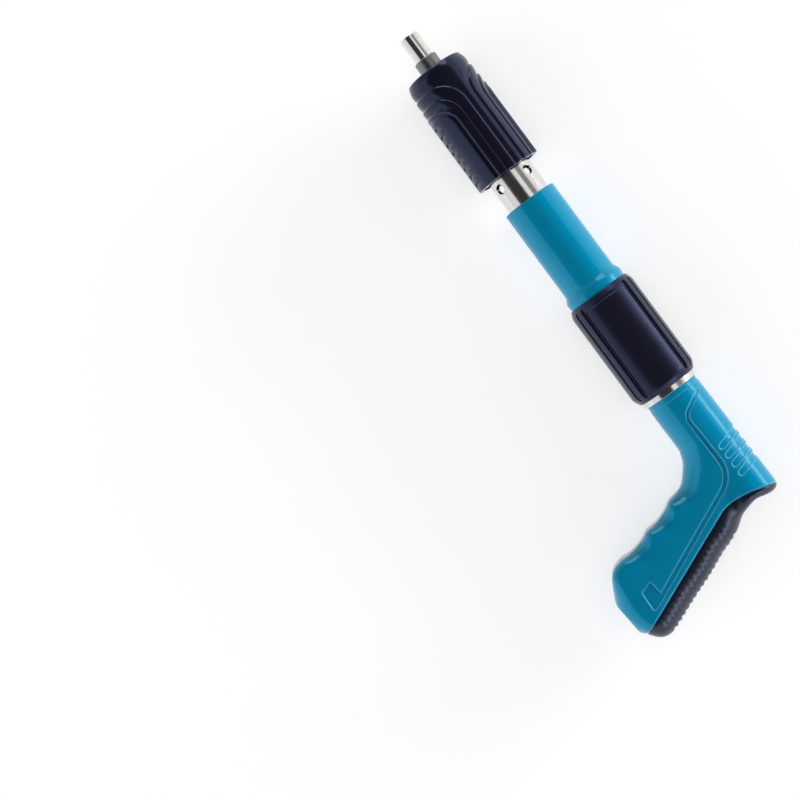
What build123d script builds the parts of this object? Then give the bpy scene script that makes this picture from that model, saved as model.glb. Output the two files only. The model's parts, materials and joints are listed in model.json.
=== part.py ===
from build123d import *
import math
import os

# A press-to-fire silenced nail fastener, in millimetres. The muzzle points along +X, the
# handle reaches towards +Y and the tool lies on its side with +Z up. The origin is the
# centre of the nozzle's mouth. A station is a distance behind that mouth.

# Clearances
fit_gap = 0.05
running_gap = 0.08
free_gap = 0.3
slack = 0.45
end_gap = 1.0

# Travel of the front unit into the body, and of the striker in the front unit
press_stroke = 16.0
strike_travel = 8.0
press_margin = 4.0

# Nozzle and lock nut
nozzle_radius = 6.1
nozzle_reach = 16.8
nail_bore_radius = 4.1
mouth_chamfer = 0.6
nut_wall = 1.3
nut_length = 8.6
muzzle_plug_length = 16.0

# Silencer
sleeve_length = 76.4
sleeve_wall = 2.2
sleeve_front_wall = 5.0
sleeve_nose_length = 5.0
sleeve_nose_drop = 1.8
sleeve_end_chamfer = 0.8
sleeve_turn = 28.5
chamber_depth = 3.6
pad_step = 0.3
first_pad_setback = 13.0
outer_pad_angle = 61.5
outer_pad_setback = 18.1
inner_pad_angle = 40.5
inner_pad_setback = 25.3
pad_corner = 9.0
notch_count = 8
notch_pitch = 5.8
notch_width = 2.6
notch_span = 7.0
notch_depth = 0.8
notch_setback = 30.5
baffle_count = 3
baffle_thickness = 2.0
baffle_hole_count = 8
baffle_hole_radius = 0.9
end_ring_length = 5.0
end_ring_recess = 1.0
seal_width = 2.0
seal_height = 1.5

# Launch tube
tube_radius = 14.4
tube_wall = 2.0
tube_exposed = 20.6
tube_buried = 69.6
tube_tail = 1.0
vent_radius = 2.75
vent_setback = 5.8
vent_count = 4
vent_turn = 45.0
port_radius = 2.0
port_count = 6
stop_ring_length = 6.0
stop_buffer_length = 3.0
circlip_length = 1.2
circlip_height = 0.55
circlip_groove_depth = 0.6

# Breech, collet and striker
breech_length = 18.0
breech_screw_radius = 2.0
breech_screw_count = 3
breech_screw_depth = 5.0
spigot_engagement = 8.0
collet_base_length = 10.0
collet_base_wall = 2.4
collet_finger_count = 4
collet_slot_width = 3.0
collet_finger_wall = 1.6
hook_length = 4.0
hook_height = 1.4
rod_slack = 0.2
rod_rest_gap = 3.6
rod_depth_in_hammer = 27.0
nose_length = 7.0
hammer_body_length = 26.0
cross_pin_radius = 1.5

# Body tube and grip sleeve
body_wall = 2.0
body_bore_room = 1.0
body_front_length = 69.3
flare_height = 2.1
flare_start = 9.2
flare_end = 4.2
flare_sag = 0.36
bush_length = 28.0
bush_wall = 1.5
wiper_length = 2.4
grip_length = 69.6
grip_wall = 4.3
grip_front_drop = 1.75
grip_front_taper = 4.2
grip_rear_drop = 2.45
grip_rear_taper = 4.8
panel_groove_angles = [46.0, 61.0]
panel_groove_width = 1.1
panel_groove_depth = 0.8
panel_margin = 4.8

# Joint collar, housing and springs
flange_length = 3.5
flange_overhang = 1.0
collar_tail = 35.2
collar_wall = 2.85
housing_lead = 6.0
housing_wall = 2.05
housing_bore_radius = 10.05
relief_depth = 0.95
relief_margin = 1.5
joint_screw_radius = 2.0
joint_screw_count = 3
joint_screw_depth = 2.3
joint_screw_setback = 12.0
return_spring_length = 42.0
return_wire_radius = 0.8
return_turns = 7
washer_thickness = 2.0
main_wire_radius = 1.1
main_turns = 11
guide_radius = 4.5
guide_length = 30.0
guide_flange_length = 3.0
plug_length = 12.0
plug_flange_length = 4.0
recoil_pad_length = 5.5

# Handle. A spot on it is a distance behind its front and a drop below the barrel axis.
# Each section runs from a spot on the finger side to one on the back, then gives the half
# thickness and the squareness of its outline, where 2 is an ellipse. In the bend the
# sections fan out from the centre of the web's arc, each with its turn, the depth that its
# front lies behind the arc, and its width.
handle_radius = 17.5
handle_bore_depth = 74.7
heel_length = 85.3
heel_rise = 1.4
heel_round = 6.0
web_start = 32.2
web_radius = 19.5
fan_sections = [
    (-12.0, 1.8, 31.8, 15.9, 2.0),
    (0.0, 0.7, 34.0, 16.9, 2.0),
    (17.0, 0.0, 35.0, 17.4, 2.1),
    (34.0, 0.0, 35.3, 17.2, 2.2),
    (51.0, 0.0, 37.5, 17.0, 2.3),
    (66.0, 0.0, 41.5, 16.8, 2.4),
]
grip_sections = [
    ((53.0, 41.0), (93.8, 24.5), 16.6, 2.4),
    ((59.3, 60.0), (101.2, 43.0), 16.6, 2.4),
    ((62.7, 74.0), (106.5, 56.5), 16.7, 2.4),
    ((65.0, 86.0), (111.8, 69.5), 16.9, 2.4),
]
foot_sections = [
    ((69.2, 93.2), (117.2, 84.0), 16.9, 2.4),
    ((78.2, 99.3), (114.9, 93.0), 14.5, 2.4),
    ((85.7, 101.6), (106.7, 100.4), 8.5, 2.4),
]
half_section_points = 13
outline_steps = 90
finger_ridges = [(52.5, 39.5), (59.3, 60.3), (64.6, 83.5)]
scoop_radius = 30.0
scoop_depth = 2.0
cavity_front_wall = 5.0
cavity_back_wall = 6.5
cavity_side_wall = 4.2
lip_length = 5.7
lip_groove_width = 1.0
lip_groove_depth = 0.6

# Rubber back of the handle
rubber_thickness = 3.0
rubber_top = (82.8, -20.0)
rubber_waist = (76.2, 0.0)
rubber_shoulder = (76.4, 17.5)
rubber_end = (114.7, 107.0)
rib_count = 17
rib_radius = 1.6
rib_sink = 0.7
rib_first = (92.1, 20.0)
rib_last = (116.0, 81.3)

# Handle fasteners, placed behind the handle's front and below the barrel axis
screw_spots = [(55.2, 27.0), (80.7, 45.0), (69.2, 68.0), (87.2, 92.0)]
screw_radius = 1.95
screw_head_radius = 3.2
screw_head_length = 3.0
screw_socket_radius = 1.5
screw_seat = 9.0
screw_reach = 7.5
insert_radius = 2.9
insert_length = 8.0
boss_radius = 5.0
lock_pin_radius = 1.2
lock_pin_length = 13.0
lock_pin_setback = 23.0

# Reach of a cutting form past the piece that it cuts
far = 60.0

# Radii that follow from the ones above
nut_radius = nozzle_radius + nut_wall + fit_gap
rod_radius = nail_bore_radius - rod_slack
rod_bore_radius = rod_radius + running_gap
tube_bore_radius = tube_radius - tube_wall
tube_fit_radius = tube_radius + fit_gap
sleeve_bore_radius = tube_radius + chamber_depth
sleeve_front_radius = sleeve_bore_radius + sleeve_wall
first_pad_radius = sleeve_front_radius + pad_step
outer_pad_radius = first_pad_radius + pad_step
inner_pad_radius = outer_pad_radius + pad_step
body_throat_radius = tube_radius + free_gap
body_bore_radius = tube_radius + body_bore_room
body_radius = body_bore_radius + body_wall
bush_radius = tube_radius + running_gap + bush_wall + fit_gap
flare_radius = body_radius + flare_height
grip_radius = body_radius + fit_gap + grip_wall
stop_ring_radius = body_bore_radius - running_gap
stop_buffer_radius = body_bore_radius - free_gap
collet_radius = housing_bore_radius - running_gap
finger_bore_radius = collet_radius - collet_finger_wall
hook_radius = finger_bore_radius - hook_height
spigot_radius = housing_bore_radius - slack
spigot_neck_radius = collet_radius - collet_base_wall - fit_gap
nose_radius = hook_radius - slack
head_radius = finger_bore_radius - slack
hammer_radius = housing_bore_radius - slack
housing_radius = housing_bore_radius + housing_wall
collar_tail_radius = housing_radius + fit_gap + collar_wall
flange_radius = handle_radius + flange_overhang
return_coil_radius = tube_radius - tube_wall / 2
main_coil_radius = (guide_radius + housing_bore_radius) / 2

# Stations
sleeve_front = nozzle_reach + nut_length
chamber_front = sleeve_front + sleeve_front_wall
plug_rear = chamber_front + muzzle_plug_length
sleeve_rear = sleeve_front + sleeve_length
end_ring_rear = sleeve_rear - end_ring_recess
end_ring_front = end_ring_rear - end_ring_length
body_front = sleeve_rear + tube_exposed
tube_rear = body_front + tube_buried
circlip_rear = tube_rear - tube_tail
circlip_front = circlip_rear - circlip_length
stop_rear = circlip_front - fit_gap
stop_front = stop_rear - stop_ring_length
buffer_front = stop_front - stop_buffer_length
shoulder = buffer_front - fit_gap
bush_rear = body_front + wiper_length + bush_length
housing_front = tube_rear + housing_lead
breech_rear = housing_front - press_stroke - press_margin
breech_front = breech_rear - breech_length
spigot_rear = housing_front + spigot_engagement
collet_front = spigot_rear - collet_base_length
nose_front = spigot_rear + strike_travel + end_gap
collet_rear = nose_front + nose_length
head_front = collet_rear + fit_gap
head_rear = head_front + strike_travel + 2 * end_gap
hammer_rear = head_rear + hammer_body_length
rod_front = plug_rear + rod_rest_gap
rod_rear = nose_front + rod_depth_in_hammer
grip_front = body_front + body_front_length
grip_rear = grip_front + grip_length
handle_front = grip_rear + flange_length
washer_front = tube_rear + return_spring_length
collar_front = washer_front + washer_thickness
collar_rear = handle_front + collar_tail
pad_rear = handle_front + handle_bore_depth
pad_front = pad_rear - recoil_pad_length
housing_rear = pad_front - plug_flange_length
plug_front = housing_rear - plug_length
guide_front = plug_front - guide_flange_length


def turned(*profile):
    """Solid of revolution about the barrel axis, from corners of station and radius."""
    outline = Polyline(*[(-station, radius) for station, radius in profile], close=True)
    return revolve(make_face(outline), Axis.X)


def ring(front, rear, inner, outer):
    """Plain ring on the barrel axis."""
    return turned((front, inner), (front, outer), (rear, outer), (rear, inner))


def disc(front, rear, radius):
    """Plain disc or bar on the barrel axis."""
    return turned((front, 0), (front, radius), (rear, radius), (rear, 0))


def radial_bar(station, angle, inner, outer, radius):
    """Round bar that points away from the barrel axis, turned from +Z about +X."""
    middle = (inner + outer) / 2
    return Pos(-station, 0, 0) * Rot(angle, 0, 0) * Pos(0, 0, middle) * Cylinder(radius, outer - inner)


def radial_bars(count, station, inner, outer, radius, first=0.0):
    """Round bars spaced evenly about the barrel axis."""
    turns = [first + step * 360 / count for step in range(count)]
    return [radial_bar(station, turn, inner, outer, radius) for turn in turns]


def upright(x, y, low, high, radius):
    """Round bar along Z."""
    return Pos(x, y, (low + high) / 2) * Cylinder(radius, high - low)


def long_key(front, rear, inner, outer, width, angle):
    """Straight bar along the barrel, standing between two radii at an angle from +Z."""
    bar = Box(rear - front, width, outer - inner)
    return Rot(angle, 0, 0) * Pos(-(front + rear) / 2, 0, (inner + outer) / 2) * bar


def make_nozzle():
    profile = [
        (0, nail_bore_radius),
        (0, nozzle_radius - mouth_chamfer),
        (mouth_chamfer, nozzle_radius),
        (plug_rear, nozzle_radius),
        (plug_rear, nail_bore_radius),
    ]
    return turned(*profile)


def make_lock_nut():
    inner = nozzle_radius + fit_gap
    profile = [
        (nozzle_reach, inner),
        (nozzle_reach, nut_radius - mouth_chamfer),
        (nozzle_reach + mouth_chamfer, nut_radius),
        (sleeve_front, nut_radius),
        (sleeve_front, inner),
    ]
    return turned(*profile)


def make_muzzle_plug():
    return ring(chamber_front, plug_rear, nozzle_radius + fit_gap, tube_bore_radius - fit_gap)


def make_launch_tube():
    tube = ring(chamber_front, tube_rear, tube_bore_radius, tube_radius)
    groove_floor = tube_radius - circlip_groove_depth
    inner = tube_bore_radius - end_gap
    outer = tube_radius + end_gap
    tube -= ring(circlip_front, circlip_rear, groove_floor, outer)
    tube -= radial_bars(vent_count, sleeve_rear + vent_setback, inner, outer, vent_radius, vent_turn)
    for station in port_stations():
        tube -= radial_bars(port_count, station, inner, outer, port_radius)
    screw_hole = breech_screw_radius + fit_gap
    return tube - radial_bars(breech_screw_count, breech_middle(), inner, outer, screw_hole)


def breech_middle():
    """Station of the breech screws."""
    return (breech_front + breech_rear) / 2


def chamber_pitch():
    """Distance from one silencer chamber to the next."""
    return (end_ring_front - plug_rear) / (baffle_count + 1)


def port_stations():
    """Middle of each silencer chamber behind the muzzle plug."""
    return [plug_rear + chamber_pitch() * (index + 0.5) for index in range(baffle_count + 1)]


def baffle_stations():
    """Middle of each baffle."""
    return [plug_rear + chamber_pitch() * (index + 1) for index in range(baffle_count)]


def pad_pair(setback, radius, angle):
    """Two raised pads on opposite sides of the sleeve, with rounded front corners."""
    front = sleeve_front + setback
    rear = sleeve_rear - sleeve_end_chamfer
    half_width = radius * math.sin(math.radians(angle))
    face = Rectangle(rear - front, 2 * half_width)
    face = fillet(face.vertices().group_by(Axis.X)[-1], pad_corner)
    slab = extrude(Plane.XZ * Pos(-(front + rear) / 2, 0) * face, far, both=True)
    return slab & disc(front - end_gap, rear, radius)


def make_sleeve():
    step_front = sleeve_front + first_pad_setback
    nose_edge = sleeve_front_radius - sleeve_nose_drop
    profile = [
        (sleeve_front, 0),
        (sleeve_front, nose_edge),
        (sleeve_front + sleeve_end_chamfer, nose_edge + sleeve_end_chamfer),
        (sleeve_front + sleeve_nose_length, sleeve_front_radius),
        (step_front, sleeve_front_radius),
        (step_front + sleeve_end_chamfer, first_pad_radius),
        (sleeve_rear - sleeve_end_chamfer, first_pad_radius),
        (sleeve_rear, first_pad_radius - sleeve_end_chamfer),
        (sleeve_rear, 0),
    ]
    sleeve = turned(*profile)
    sleeve += pad_pair(outer_pad_setback, outer_pad_radius, outer_pad_angle)
    sleeve += pad_pair(inner_pad_setback, inner_pad_radius, inner_pad_angle)
    floor = inner_pad_radius - notch_depth
    outside = inner_pad_radius + end_gap
    for index in range(notch_count):
        front = sleeve_front + notch_setback + index * notch_pitch
        for side in (90, -90):
            sleeve -= long_key(front, front + notch_width, floor, outside, notch_span, side)
    sleeve = Rot(sleeve_turn, 0, 0) * sleeve
    sleeve -= disc(sleeve_front - end_gap, chamber_front + end_gap, nozzle_radius + fit_gap)
    return sleeve - disc(chamber_front, sleeve_rear + end_gap, sleeve_bore_radius)


def make_baffles():
    outer = sleeve_bore_radius - fit_gap
    hole_circle = (tube_radius + sleeve_bore_radius) / 2
    baffles = []
    for station in baffle_stations():
        front = station - baffle_thickness / 2
        rear = station + baffle_thickness / 2
        baffle = ring(front, rear, tube_fit_radius, outer)
        for step in range(baffle_hole_count):
            hole = disc(front - end_gap, rear + end_gap, baffle_hole_radius)
            baffle -= Rot(step * 360 / baffle_hole_count, 0, 0) * Pos(0, 0, hole_circle) * hole
        baffles.append(baffle)
    return Compound(children=baffles)


def seal_front():
    """Station of the front of the silencer's seal."""
    return (end_ring_front + end_ring_rear - seal_width) / 2


def make_end_ring():
    outer = sleeve_bore_radius - fit_gap
    body = ring(end_ring_front, end_ring_rear, tube_fit_radius, outer)
    groove_rear = seal_front() + seal_width
    return body - ring(seal_front(), groove_rear, tube_radius - end_gap, tube_fit_radius + seal_height)


def make_silencer_seal():
    outer = tube_fit_radius + seal_height - fit_gap
    return ring(seal_front() + fit_gap, seal_front() + seal_width - fit_gap, tube_fit_radius, outer)


def make_stop_buffer():
    return ring(buffer_front, stop_front, tube_fit_radius, stop_buffer_radius)


def make_stop_ring():
    return ring(stop_front, stop_rear, tube_fit_radius, stop_ring_radius)


def make_circlip():
    floor = tube_radius - circlip_groove_depth
    outer = tube_radius + circlip_height
    clip = ring(circlip_front + fit_gap, circlip_rear - fit_gap, floor + fit_gap, outer)
    gap = long_key(circlip_front, circlip_rear, 0, outer + end_gap, circlip_length * 2, 0)
    return clip - gap


def make_breech_plug():
    profile = [
        (breech_front, rod_bore_radius),
        (breech_front, tube_bore_radius - fit_gap),
        (breech_rear, tube_bore_radius - fit_gap),
        (breech_rear, spigot_radius),
        (collet_front, spigot_radius),
        (collet_front, spigot_neck_radius),
        (spigot_rear, spigot_neck_radius),
        (spigot_rear, rod_bore_radius),
    ]
    plug = turned(*profile)
    inner = tube_radius - breech_screw_depth
    return plug - radial_bars(
        breech_screw_count, breech_middle(), inner, tube_radius + end_gap, breech_screw_radius + fit_gap
    )


def make_breech_screws():
    inner = tube_radius - breech_screw_depth + fit_gap
    outer = tube_radius - fit_gap
    bars = radial_bars(breech_screw_count, breech_middle(), inner, outer, breech_screw_radius)
    return Compound(children=bars)


def make_collet():
    hook_front = collet_rear - hook_length
    profile = [
        (collet_front + fit_gap, spigot_neck_radius + fit_gap),
        (collet_front + fit_gap, collet_radius),
        (collet_rear, collet_radius),
        (collet_rear, hook_radius),
        (hook_front, hook_radius),
        (hook_front, finger_bore_radius),
        (spigot_rear, finger_bore_radius),
        (spigot_rear, spigot_neck_radius + fit_gap),
    ]
    collet = turned(*profile)
    for step in range(collet_finger_count):
        angle = step * 360 / collet_finger_count
        collet -= long_key(spigot_rear + end_gap, collet_rear + end_gap, 0, far, collet_slot_width, angle)
    return collet


def make_firing_rod():
    rod = disc(rod_front, rod_rear, rod_radius)
    return rod - upright(-hammer_pin_station(), 0, -far, far, cross_pin_radius + fit_gap)


def hammer_pin_station():
    """Station of the pin through hammer and rod."""
    return (head_rear + rod_rear) / 2


def make_hammer():
    profile = [
        (nose_front, rod_radius + fit_gap),
        (nose_front, nose_radius),
        (head_front, nose_radius),
        (head_front, head_radius),
        (head_rear, head_radius),
        (head_rear, hammer_radius),
        (hammer_rear, hammer_radius),
        (hammer_rear, 0),
        (rod_rear + fit_gap, 0),
        (rod_rear + fit_gap, rod_radius + fit_gap),
    ]
    hammer = turned(*profile)
    return hammer - upright(-hammer_pin_station(), 0, -far, far, cross_pin_radius + fit_gap)


def make_hammer_pin():
    half = hammer_radius - 4 * fit_gap
    return upright(-hammer_pin_station(), 0, -half, half, cross_pin_radius)


def joint_screw_station():
    """Station of the grub screws under the grip sleeve."""
    return grip_rear - joint_screw_setback


def make_body_tube():
    profile = [
        (body_front, bush_radius),
        (body_front, body_radius - mouth_chamfer),
        (body_front + mouth_chamfer, body_radius),
        (grip_front - flare_start, body_radius),
        (grip_front - (flare_start + flare_end) / 2, body_radius + flare_height * flare_sag),
        (grip_front - flare_end, flare_radius),
        (grip_front, flare_radius),
        (grip_front, body_radius),
        (grip_rear, body_radius),
        (grip_rear, body_bore_radius),
        (shoulder, body_bore_radius),
        (shoulder, body_throat_radius),
        (bush_rear, body_throat_radius),
        (bush_rear, bush_radius),
    ]
    inner = body_bore_radius - end_gap
    outer = body_radius + end_gap
    screw_hole = joint_screw_radius + fit_gap
    tube = turned(*profile)
    return tube - radial_bars(joint_screw_count, joint_screw_station(), inner, outer, screw_hole)


def make_front_bush():
    front = body_front + wiper_length
    return ring(front, bush_rear, tube_radius + running_gap, bush_radius - fit_gap)


def make_wiper_seal():
    rear = body_front + wiper_length
    return ring(body_front + mouth_chamfer, rear, tube_radius + running_gap, bush_radius - fit_gap)


def make_grip_sleeve():
    inner = body_radius + fit_gap
    profile = [
        (grip_front, inner),
        (grip_front, grip_radius - grip_front_drop),
        (grip_front + grip_front_taper, grip_radius),
        (grip_rear - grip_rear_taper, grip_radius),
        (grip_rear, grip_radius - grip_rear_drop),
        (grip_rear, inner),
    ]
    sleeve = turned(*profile)
    front = grip_front + panel_margin
    rear = grip_rear - panel_margin
    floor = grip_radius - panel_groove_depth
    for angle in panel_groove_angles:
        for turn in (angle, -angle, 180 - angle, 180 + angle):
            sleeve -= long_key(front, rear, floor, grip_radius + end_gap, panel_groove_width, turn)
    return sleeve


def make_joint_collar():
    bore = housing_radius + fit_gap
    profile = [
        (collar_front, bore),
        (collar_front, body_bore_radius - fit_gap),
        (grip_rear, body_bore_radius - fit_gap),
        (grip_rear, flange_radius),
        (handle_front, flange_radius),
        (handle_front, collar_tail_radius),
        (collar_rear, collar_tail_radius),
        (collar_rear, bore),
    ]
    collar = turned(*profile)
    inner = body_radius - fit_gap - joint_screw_length()
    collar -= radial_bars(
        joint_screw_count, joint_screw_station(), inner, body_radius, joint_screw_radius + fit_gap
    )
    return collar - lock_pin(fit_gap, end_gap)


def joint_screw_length():
    """Length of a grub screw, from the body tube's outside into the collar."""
    return body_radius - body_bore_radius + joint_screw_depth


def make_joint_screws():
    outer = body_radius - 2 * fit_gap
    inner = outer - joint_screw_length() + 2 * fit_gap
    bars = radial_bars(joint_screw_count, joint_screw_station(), inner, outer, joint_screw_radius)
    return Compound(children=bars)


def lock_pin(radial_gap, length_gap):
    """Pin across the collar's wall below the housing, grown by the given gaps."""
    half = lock_pin_length / 2 + length_gap
    drop = (housing_radius + collar_tail_radius) / 2
    return upright(-(handle_front + lock_pin_setback), drop, -half, half, lock_pin_radius + radial_gap)


def make_lock_pin():
    return lock_pin(0, 0)


def make_housing():
    tube = ring(housing_front, housing_rear, housing_bore_radius, housing_radius)
    relief_front = collet_rear - hook_length + press_stroke - relief_margin
    relief_rear = collet_rear + press_stroke + relief_margin
    relief_radius = housing_bore_radius + relief_depth
    tube -= ring(relief_front, relief_rear, housing_bore_radius - end_gap, relief_radius)
    return tube - upright(-plug_pin_station(), 0, -far, far, cross_pin_radius + fit_gap)


def plug_pin_station():
    """Station of the pin through housing and rear plug."""
    return (plug_front + housing_rear) / 2


def make_spring_guide():
    profile = [
        (guide_front - guide_length, 0),
        (guide_front - guide_length, guide_radius),
        (guide_front, guide_radius),
        (guide_front, housing_bore_radius - fit_gap),
        (plug_front, housing_bore_radius - fit_gap),
        (plug_front, 0),
    ]
    return turned(*profile)


def make_rear_plug():
    profile = [
        (plug_front, 0),
        (plug_front, housing_bore_radius - fit_gap),
        (housing_rear, housing_bore_radius - fit_gap),
        (housing_rear, housing_radius),
        (pad_front, housing_radius),
        (pad_front, 0),
    ]
    plug = turned(*profile)
    return plug - upright(-plug_pin_station(), 0, -far, far, cross_pin_radius + fit_gap)


def make_plug_pin():
    half = housing_radius - 4 * fit_gap
    return upright(-plug_pin_station(), 0, -half, half, cross_pin_radius)


def make_recoil_pad():
    return disc(pad_front, pad_rear, housing_radius)


def make_coil(front, rear, coil_radius, wire_radius, turns):
    """Coil spring between two stations, swept along quarter turns of two arcs each."""
    first = front + wire_radius + fit_gap
    length = rear - front - 2 * (wire_radius + fit_gap)
    quarters = 4 * turns
    lead = length / (2 * math.pi * turns)

    def place(index):
        angle = index * math.pi / 2
        spot = Vector(
            -first - length * index / quarters, coil_radius * math.cos(angle), coil_radius * math.sin(angle)
        )
        heading = Vector(-lead, -coil_radius * math.sin(angle), coil_radius * math.cos(angle))
        return spot, heading.normalized()

    arcs = []
    for index in range(quarters):
        start, start_way = place(index)
        end, end_way = place(index + 1)
        chord = end - start
        slack = 2 * (1 - start_way.dot(end_way))
        along = chord.dot(start_way + end_way)
        reach = (math.sqrt(along**2 + slack * chord.dot(chord)) - along) / slack
        near = start + start_way * reach
        distant = end - end_way * reach
        meeting = (near + distant) * 0.5
        arcs.append(TangentArc(start, meeting, tangent=start_way))
        arcs.append(TangentArc(meeting, end, tangent=distant - near))
    start, start_way = place(0)
    return sweep(Plane(origin=start, z_dir=start_way) * Circle(wire_radius), path=Wire(arcs))


def make_return_spring():
    return make_coil(tube_rear, washer_front, return_coil_radius, return_wire_radius, return_turns)


def make_main_spring():
    return make_coil(hammer_rear, guide_front, main_coil_radius, main_wire_radius, main_turns)


def make_washer():
    return ring(washer_front, collar_front, housing_radius + fit_gap, body_bore_radius - fit_gap)


def handle_spot(spot):
    """Place in the barrel's plane of a spot on the handle."""
    back, drop = spot
    return Vector(-(handle_front + back), drop)


def half_outline(half_width, half_height, squareness, side):
    """Smooth half of a section's outline, through points spaced evenly along it."""
    corners = []
    for step in range(outline_steps + 1):
        angle = math.pi * step / outline_steps
        across = math.cos(angle)
        x = math.copysign(abs(across) ** (2 / squareness), across) * half_width
        y = abs(math.sin(angle)) ** (2 / squareness) * half_height
        corners.append(Vector(x, y) * side)
    outline = Polyline(*corners)
    shares = [step / (half_section_points - 1) for step in range(half_section_points)]
    spots = [outline @ share for share in shares]
    heading = Vector(0, side * outline.length)
    return Edge.make_spline(spots, [heading, heading * -1], parameters=shares, scale=False)


def section_face(section, front_wall, back_wall, side_wall):
    """One cross-section of the handle, drawn in by a wall on each side."""
    front, back, half, squareness = section
    front = handle_spot(front)
    back = handle_spot(back)
    way = (back - front).normalized()
    front = front + way * front_wall
    back = back - way * back_wall
    half_width = (back - front).length / 2
    half_height = half - side_wall
    halves = [half_outline(half_width, half_height, squareness, side) for side in (1, -1)]
    plane = Plane(origin=(front + back) * 0.5, x_dir=way, z_dir=way.cross(Vector(0, 0, 1)))
    return plane * make_face(halves)


def fan_section(turn, sink, width, half, squareness):
    """Section of the bend, on a ray from the centre of the web's arc."""
    across = math.sin(math.radians(turn))
    up = math.cos(math.radians(turn))
    centre_drop = handle_radius + web_radius
    near = web_radius + sink
    reach = near + width
    front = (web_start + near * across, centre_drop - near * up)
    back = (web_start + reach * across, centre_drop - reach * up)
    return front, back, half, squareness


def handle_form(sections, front_wall, back_wall, side_wall):
    """Smooth body through cross-sections of the handle."""
    return loft([section_face(section, front_wall, back_wall, side_wall) for section in sections])


def heel_form(wall):
    """Straight upper part of the handle, leaning up a little and rounded at its rear edge."""
    radius = handle_radius - wall
    lean = math.degrees(math.atan2(heel_rise, heel_length))
    length = heel_length + end_gap - wall
    heel = fillet(Cylinder(radius, length, rotation=(0, 90, 0)).edges().group_by(Axis.X)[0], heel_round)
    heel = Pos(-handle_front, 0, 0) * Rot(0, 0, lean) * Pos(end_gap - length / 2, 0, 0) * heel
    return heel - disc(handle_front - 2 * end_gap, handle_front, far)


def handle_envelope(wall):
    """The whole handle with its rubber back, drawn in by a wall all round."""
    bend = [fan_section(*values) for values in fan_sections]
    return heel_form(wall) + handle_form(bend + grip_sections + foot_sections, wall, wall, wall)


def finger_scoops():
    """Cylinders that hollow the finger side between the ridges."""
    scoops = []
    for upper, lower in zip(finger_ridges, finger_ridges[1:]):
        top = handle_spot(upper)
        bottom = handle_spot(lower)
        outward = (bottom - top).normalized().cross(Vector(0, 0, 1))
        if outward.X < 0:
            outward = outward * -1
        centre = (top + bottom) * 0.5 + outward * (scoop_radius - scoop_depth)
        scoops.append(upright(centre.X, centre.Y, -far, far, scoop_radius))
    return scoops


def side_prism(face):
    """Prism of a side outline, through the whole handle."""
    return extrude(face, far, both=True)


def rubber_prism():
    """Prism of everything behind the seam between shell and rubber."""
    top = handle_spot(rubber_top)
    shoulder_spot = handle_spot(rubber_shoulder)
    end = handle_spot(rubber_end)
    seam = ThreePointArc(top, handle_spot(rubber_waist), shoulder_spot)
    tail = Line(shoulder_spot, end)
    outside = Polyline(end, end - Vector(far, 0), Vector(end.X - far, top.Y), top)
    return side_prism(make_face([seam, tail, *outside.edges()]))


def rib_grooves():
    """Round grooves across the rubber back."""
    first = handle_spot(rib_first)
    last = handle_spot(rib_last)
    outward = (last - first).normalized().cross(Vector(0, 0, 1))
    if outward.X > 0:
        outward = outward * -1
    grooves = []
    for index in range(rib_count):
        spot = first + (last - first) * (index / (rib_count - 1)) + outward * (rib_radius - rib_sink)
        grooves.append(upright(spot.X, spot.Y, -far, far, rib_radius))
    return grooves


def make_handle():
    """Left shell, right shell and rubber back."""
    envelope = handle_envelope(0) - finger_scoops()
    behind = rubber_prism()
    rubber = (envelope - handle_envelope(rubber_thickness)) & behind
    shell = envelope - rubber
    lip_rear = handle_front + lip_length
    shell -= ring(lip_rear, lip_rear + lip_groove_width, handle_radius - lip_groove_depth, far)
    shell -= disc(handle_front - end_gap, collar_rear, collar_tail_radius + fit_gap)
    shell -= disc(handle_front, pad_rear, housing_radius + fit_gap)
    shell -= lock_pin(fit_gap, fit_gap)
    cavity = handle_form(grip_sections, cavity_front_wall, cavity_back_wall, cavity_side_wall)
    for spot in screw_spots:
        place = handle_spot(spot)
        cavity -= upright(place.X, place.Y, -far, far, boss_radius)
    shell -= cavity
    for spot in screw_spots:
        place = handle_spot(spot)
        shell -= upright(place.X, place.Y, -far, -screw_seat, screw_head_radius + 2 * fit_gap)
        shell -= upright(place.X, place.Y, -screw_seat, 0, screw_radius + 2 * fit_gap)
        shell -= upright(place.X, place.Y, 0, insert_length + end_gap, insert_radius + fit_gap)
    half_space = Pos(-handle_front, 0, far) * Box(6 * far, 6 * far, 2 * far)
    left = shell & half_space
    right = shell - half_space
    return left, right, rubber - rib_grooves()


def make_handle_screws():
    screws = []
    for spot in screw_spots:
        place = handle_spot(spot)
        low = -screw_seat - screw_head_length
        screw = upright(place.X, place.Y, low, -screw_seat, screw_head_radius)
        screw += upright(place.X, place.Y, -screw_seat, screw_reach, screw_radius)
        socket = Pos(place.X, place.Y, low) * RegularPolygon(screw_socket_radius, 6)
        screw -= extrude(socket, screw_head_length / 2)
        screws.append(screw)
    return Compound(children=screws)


def make_handle_inserts():
    inserts = []
    for spot in screw_spots:
        place = handle_spot(spot)
        insert = upright(place.X, place.Y, fit_gap, insert_length, insert_radius)
        insert -= upright(place.X, place.Y, -end_gap, insert_length + end_gap, screw_radius + fit_gap)
        inserts.append(insert)
    return Compound(children=inserts)


handle_left, handle_right, handle_back_grip = make_handle()

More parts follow.
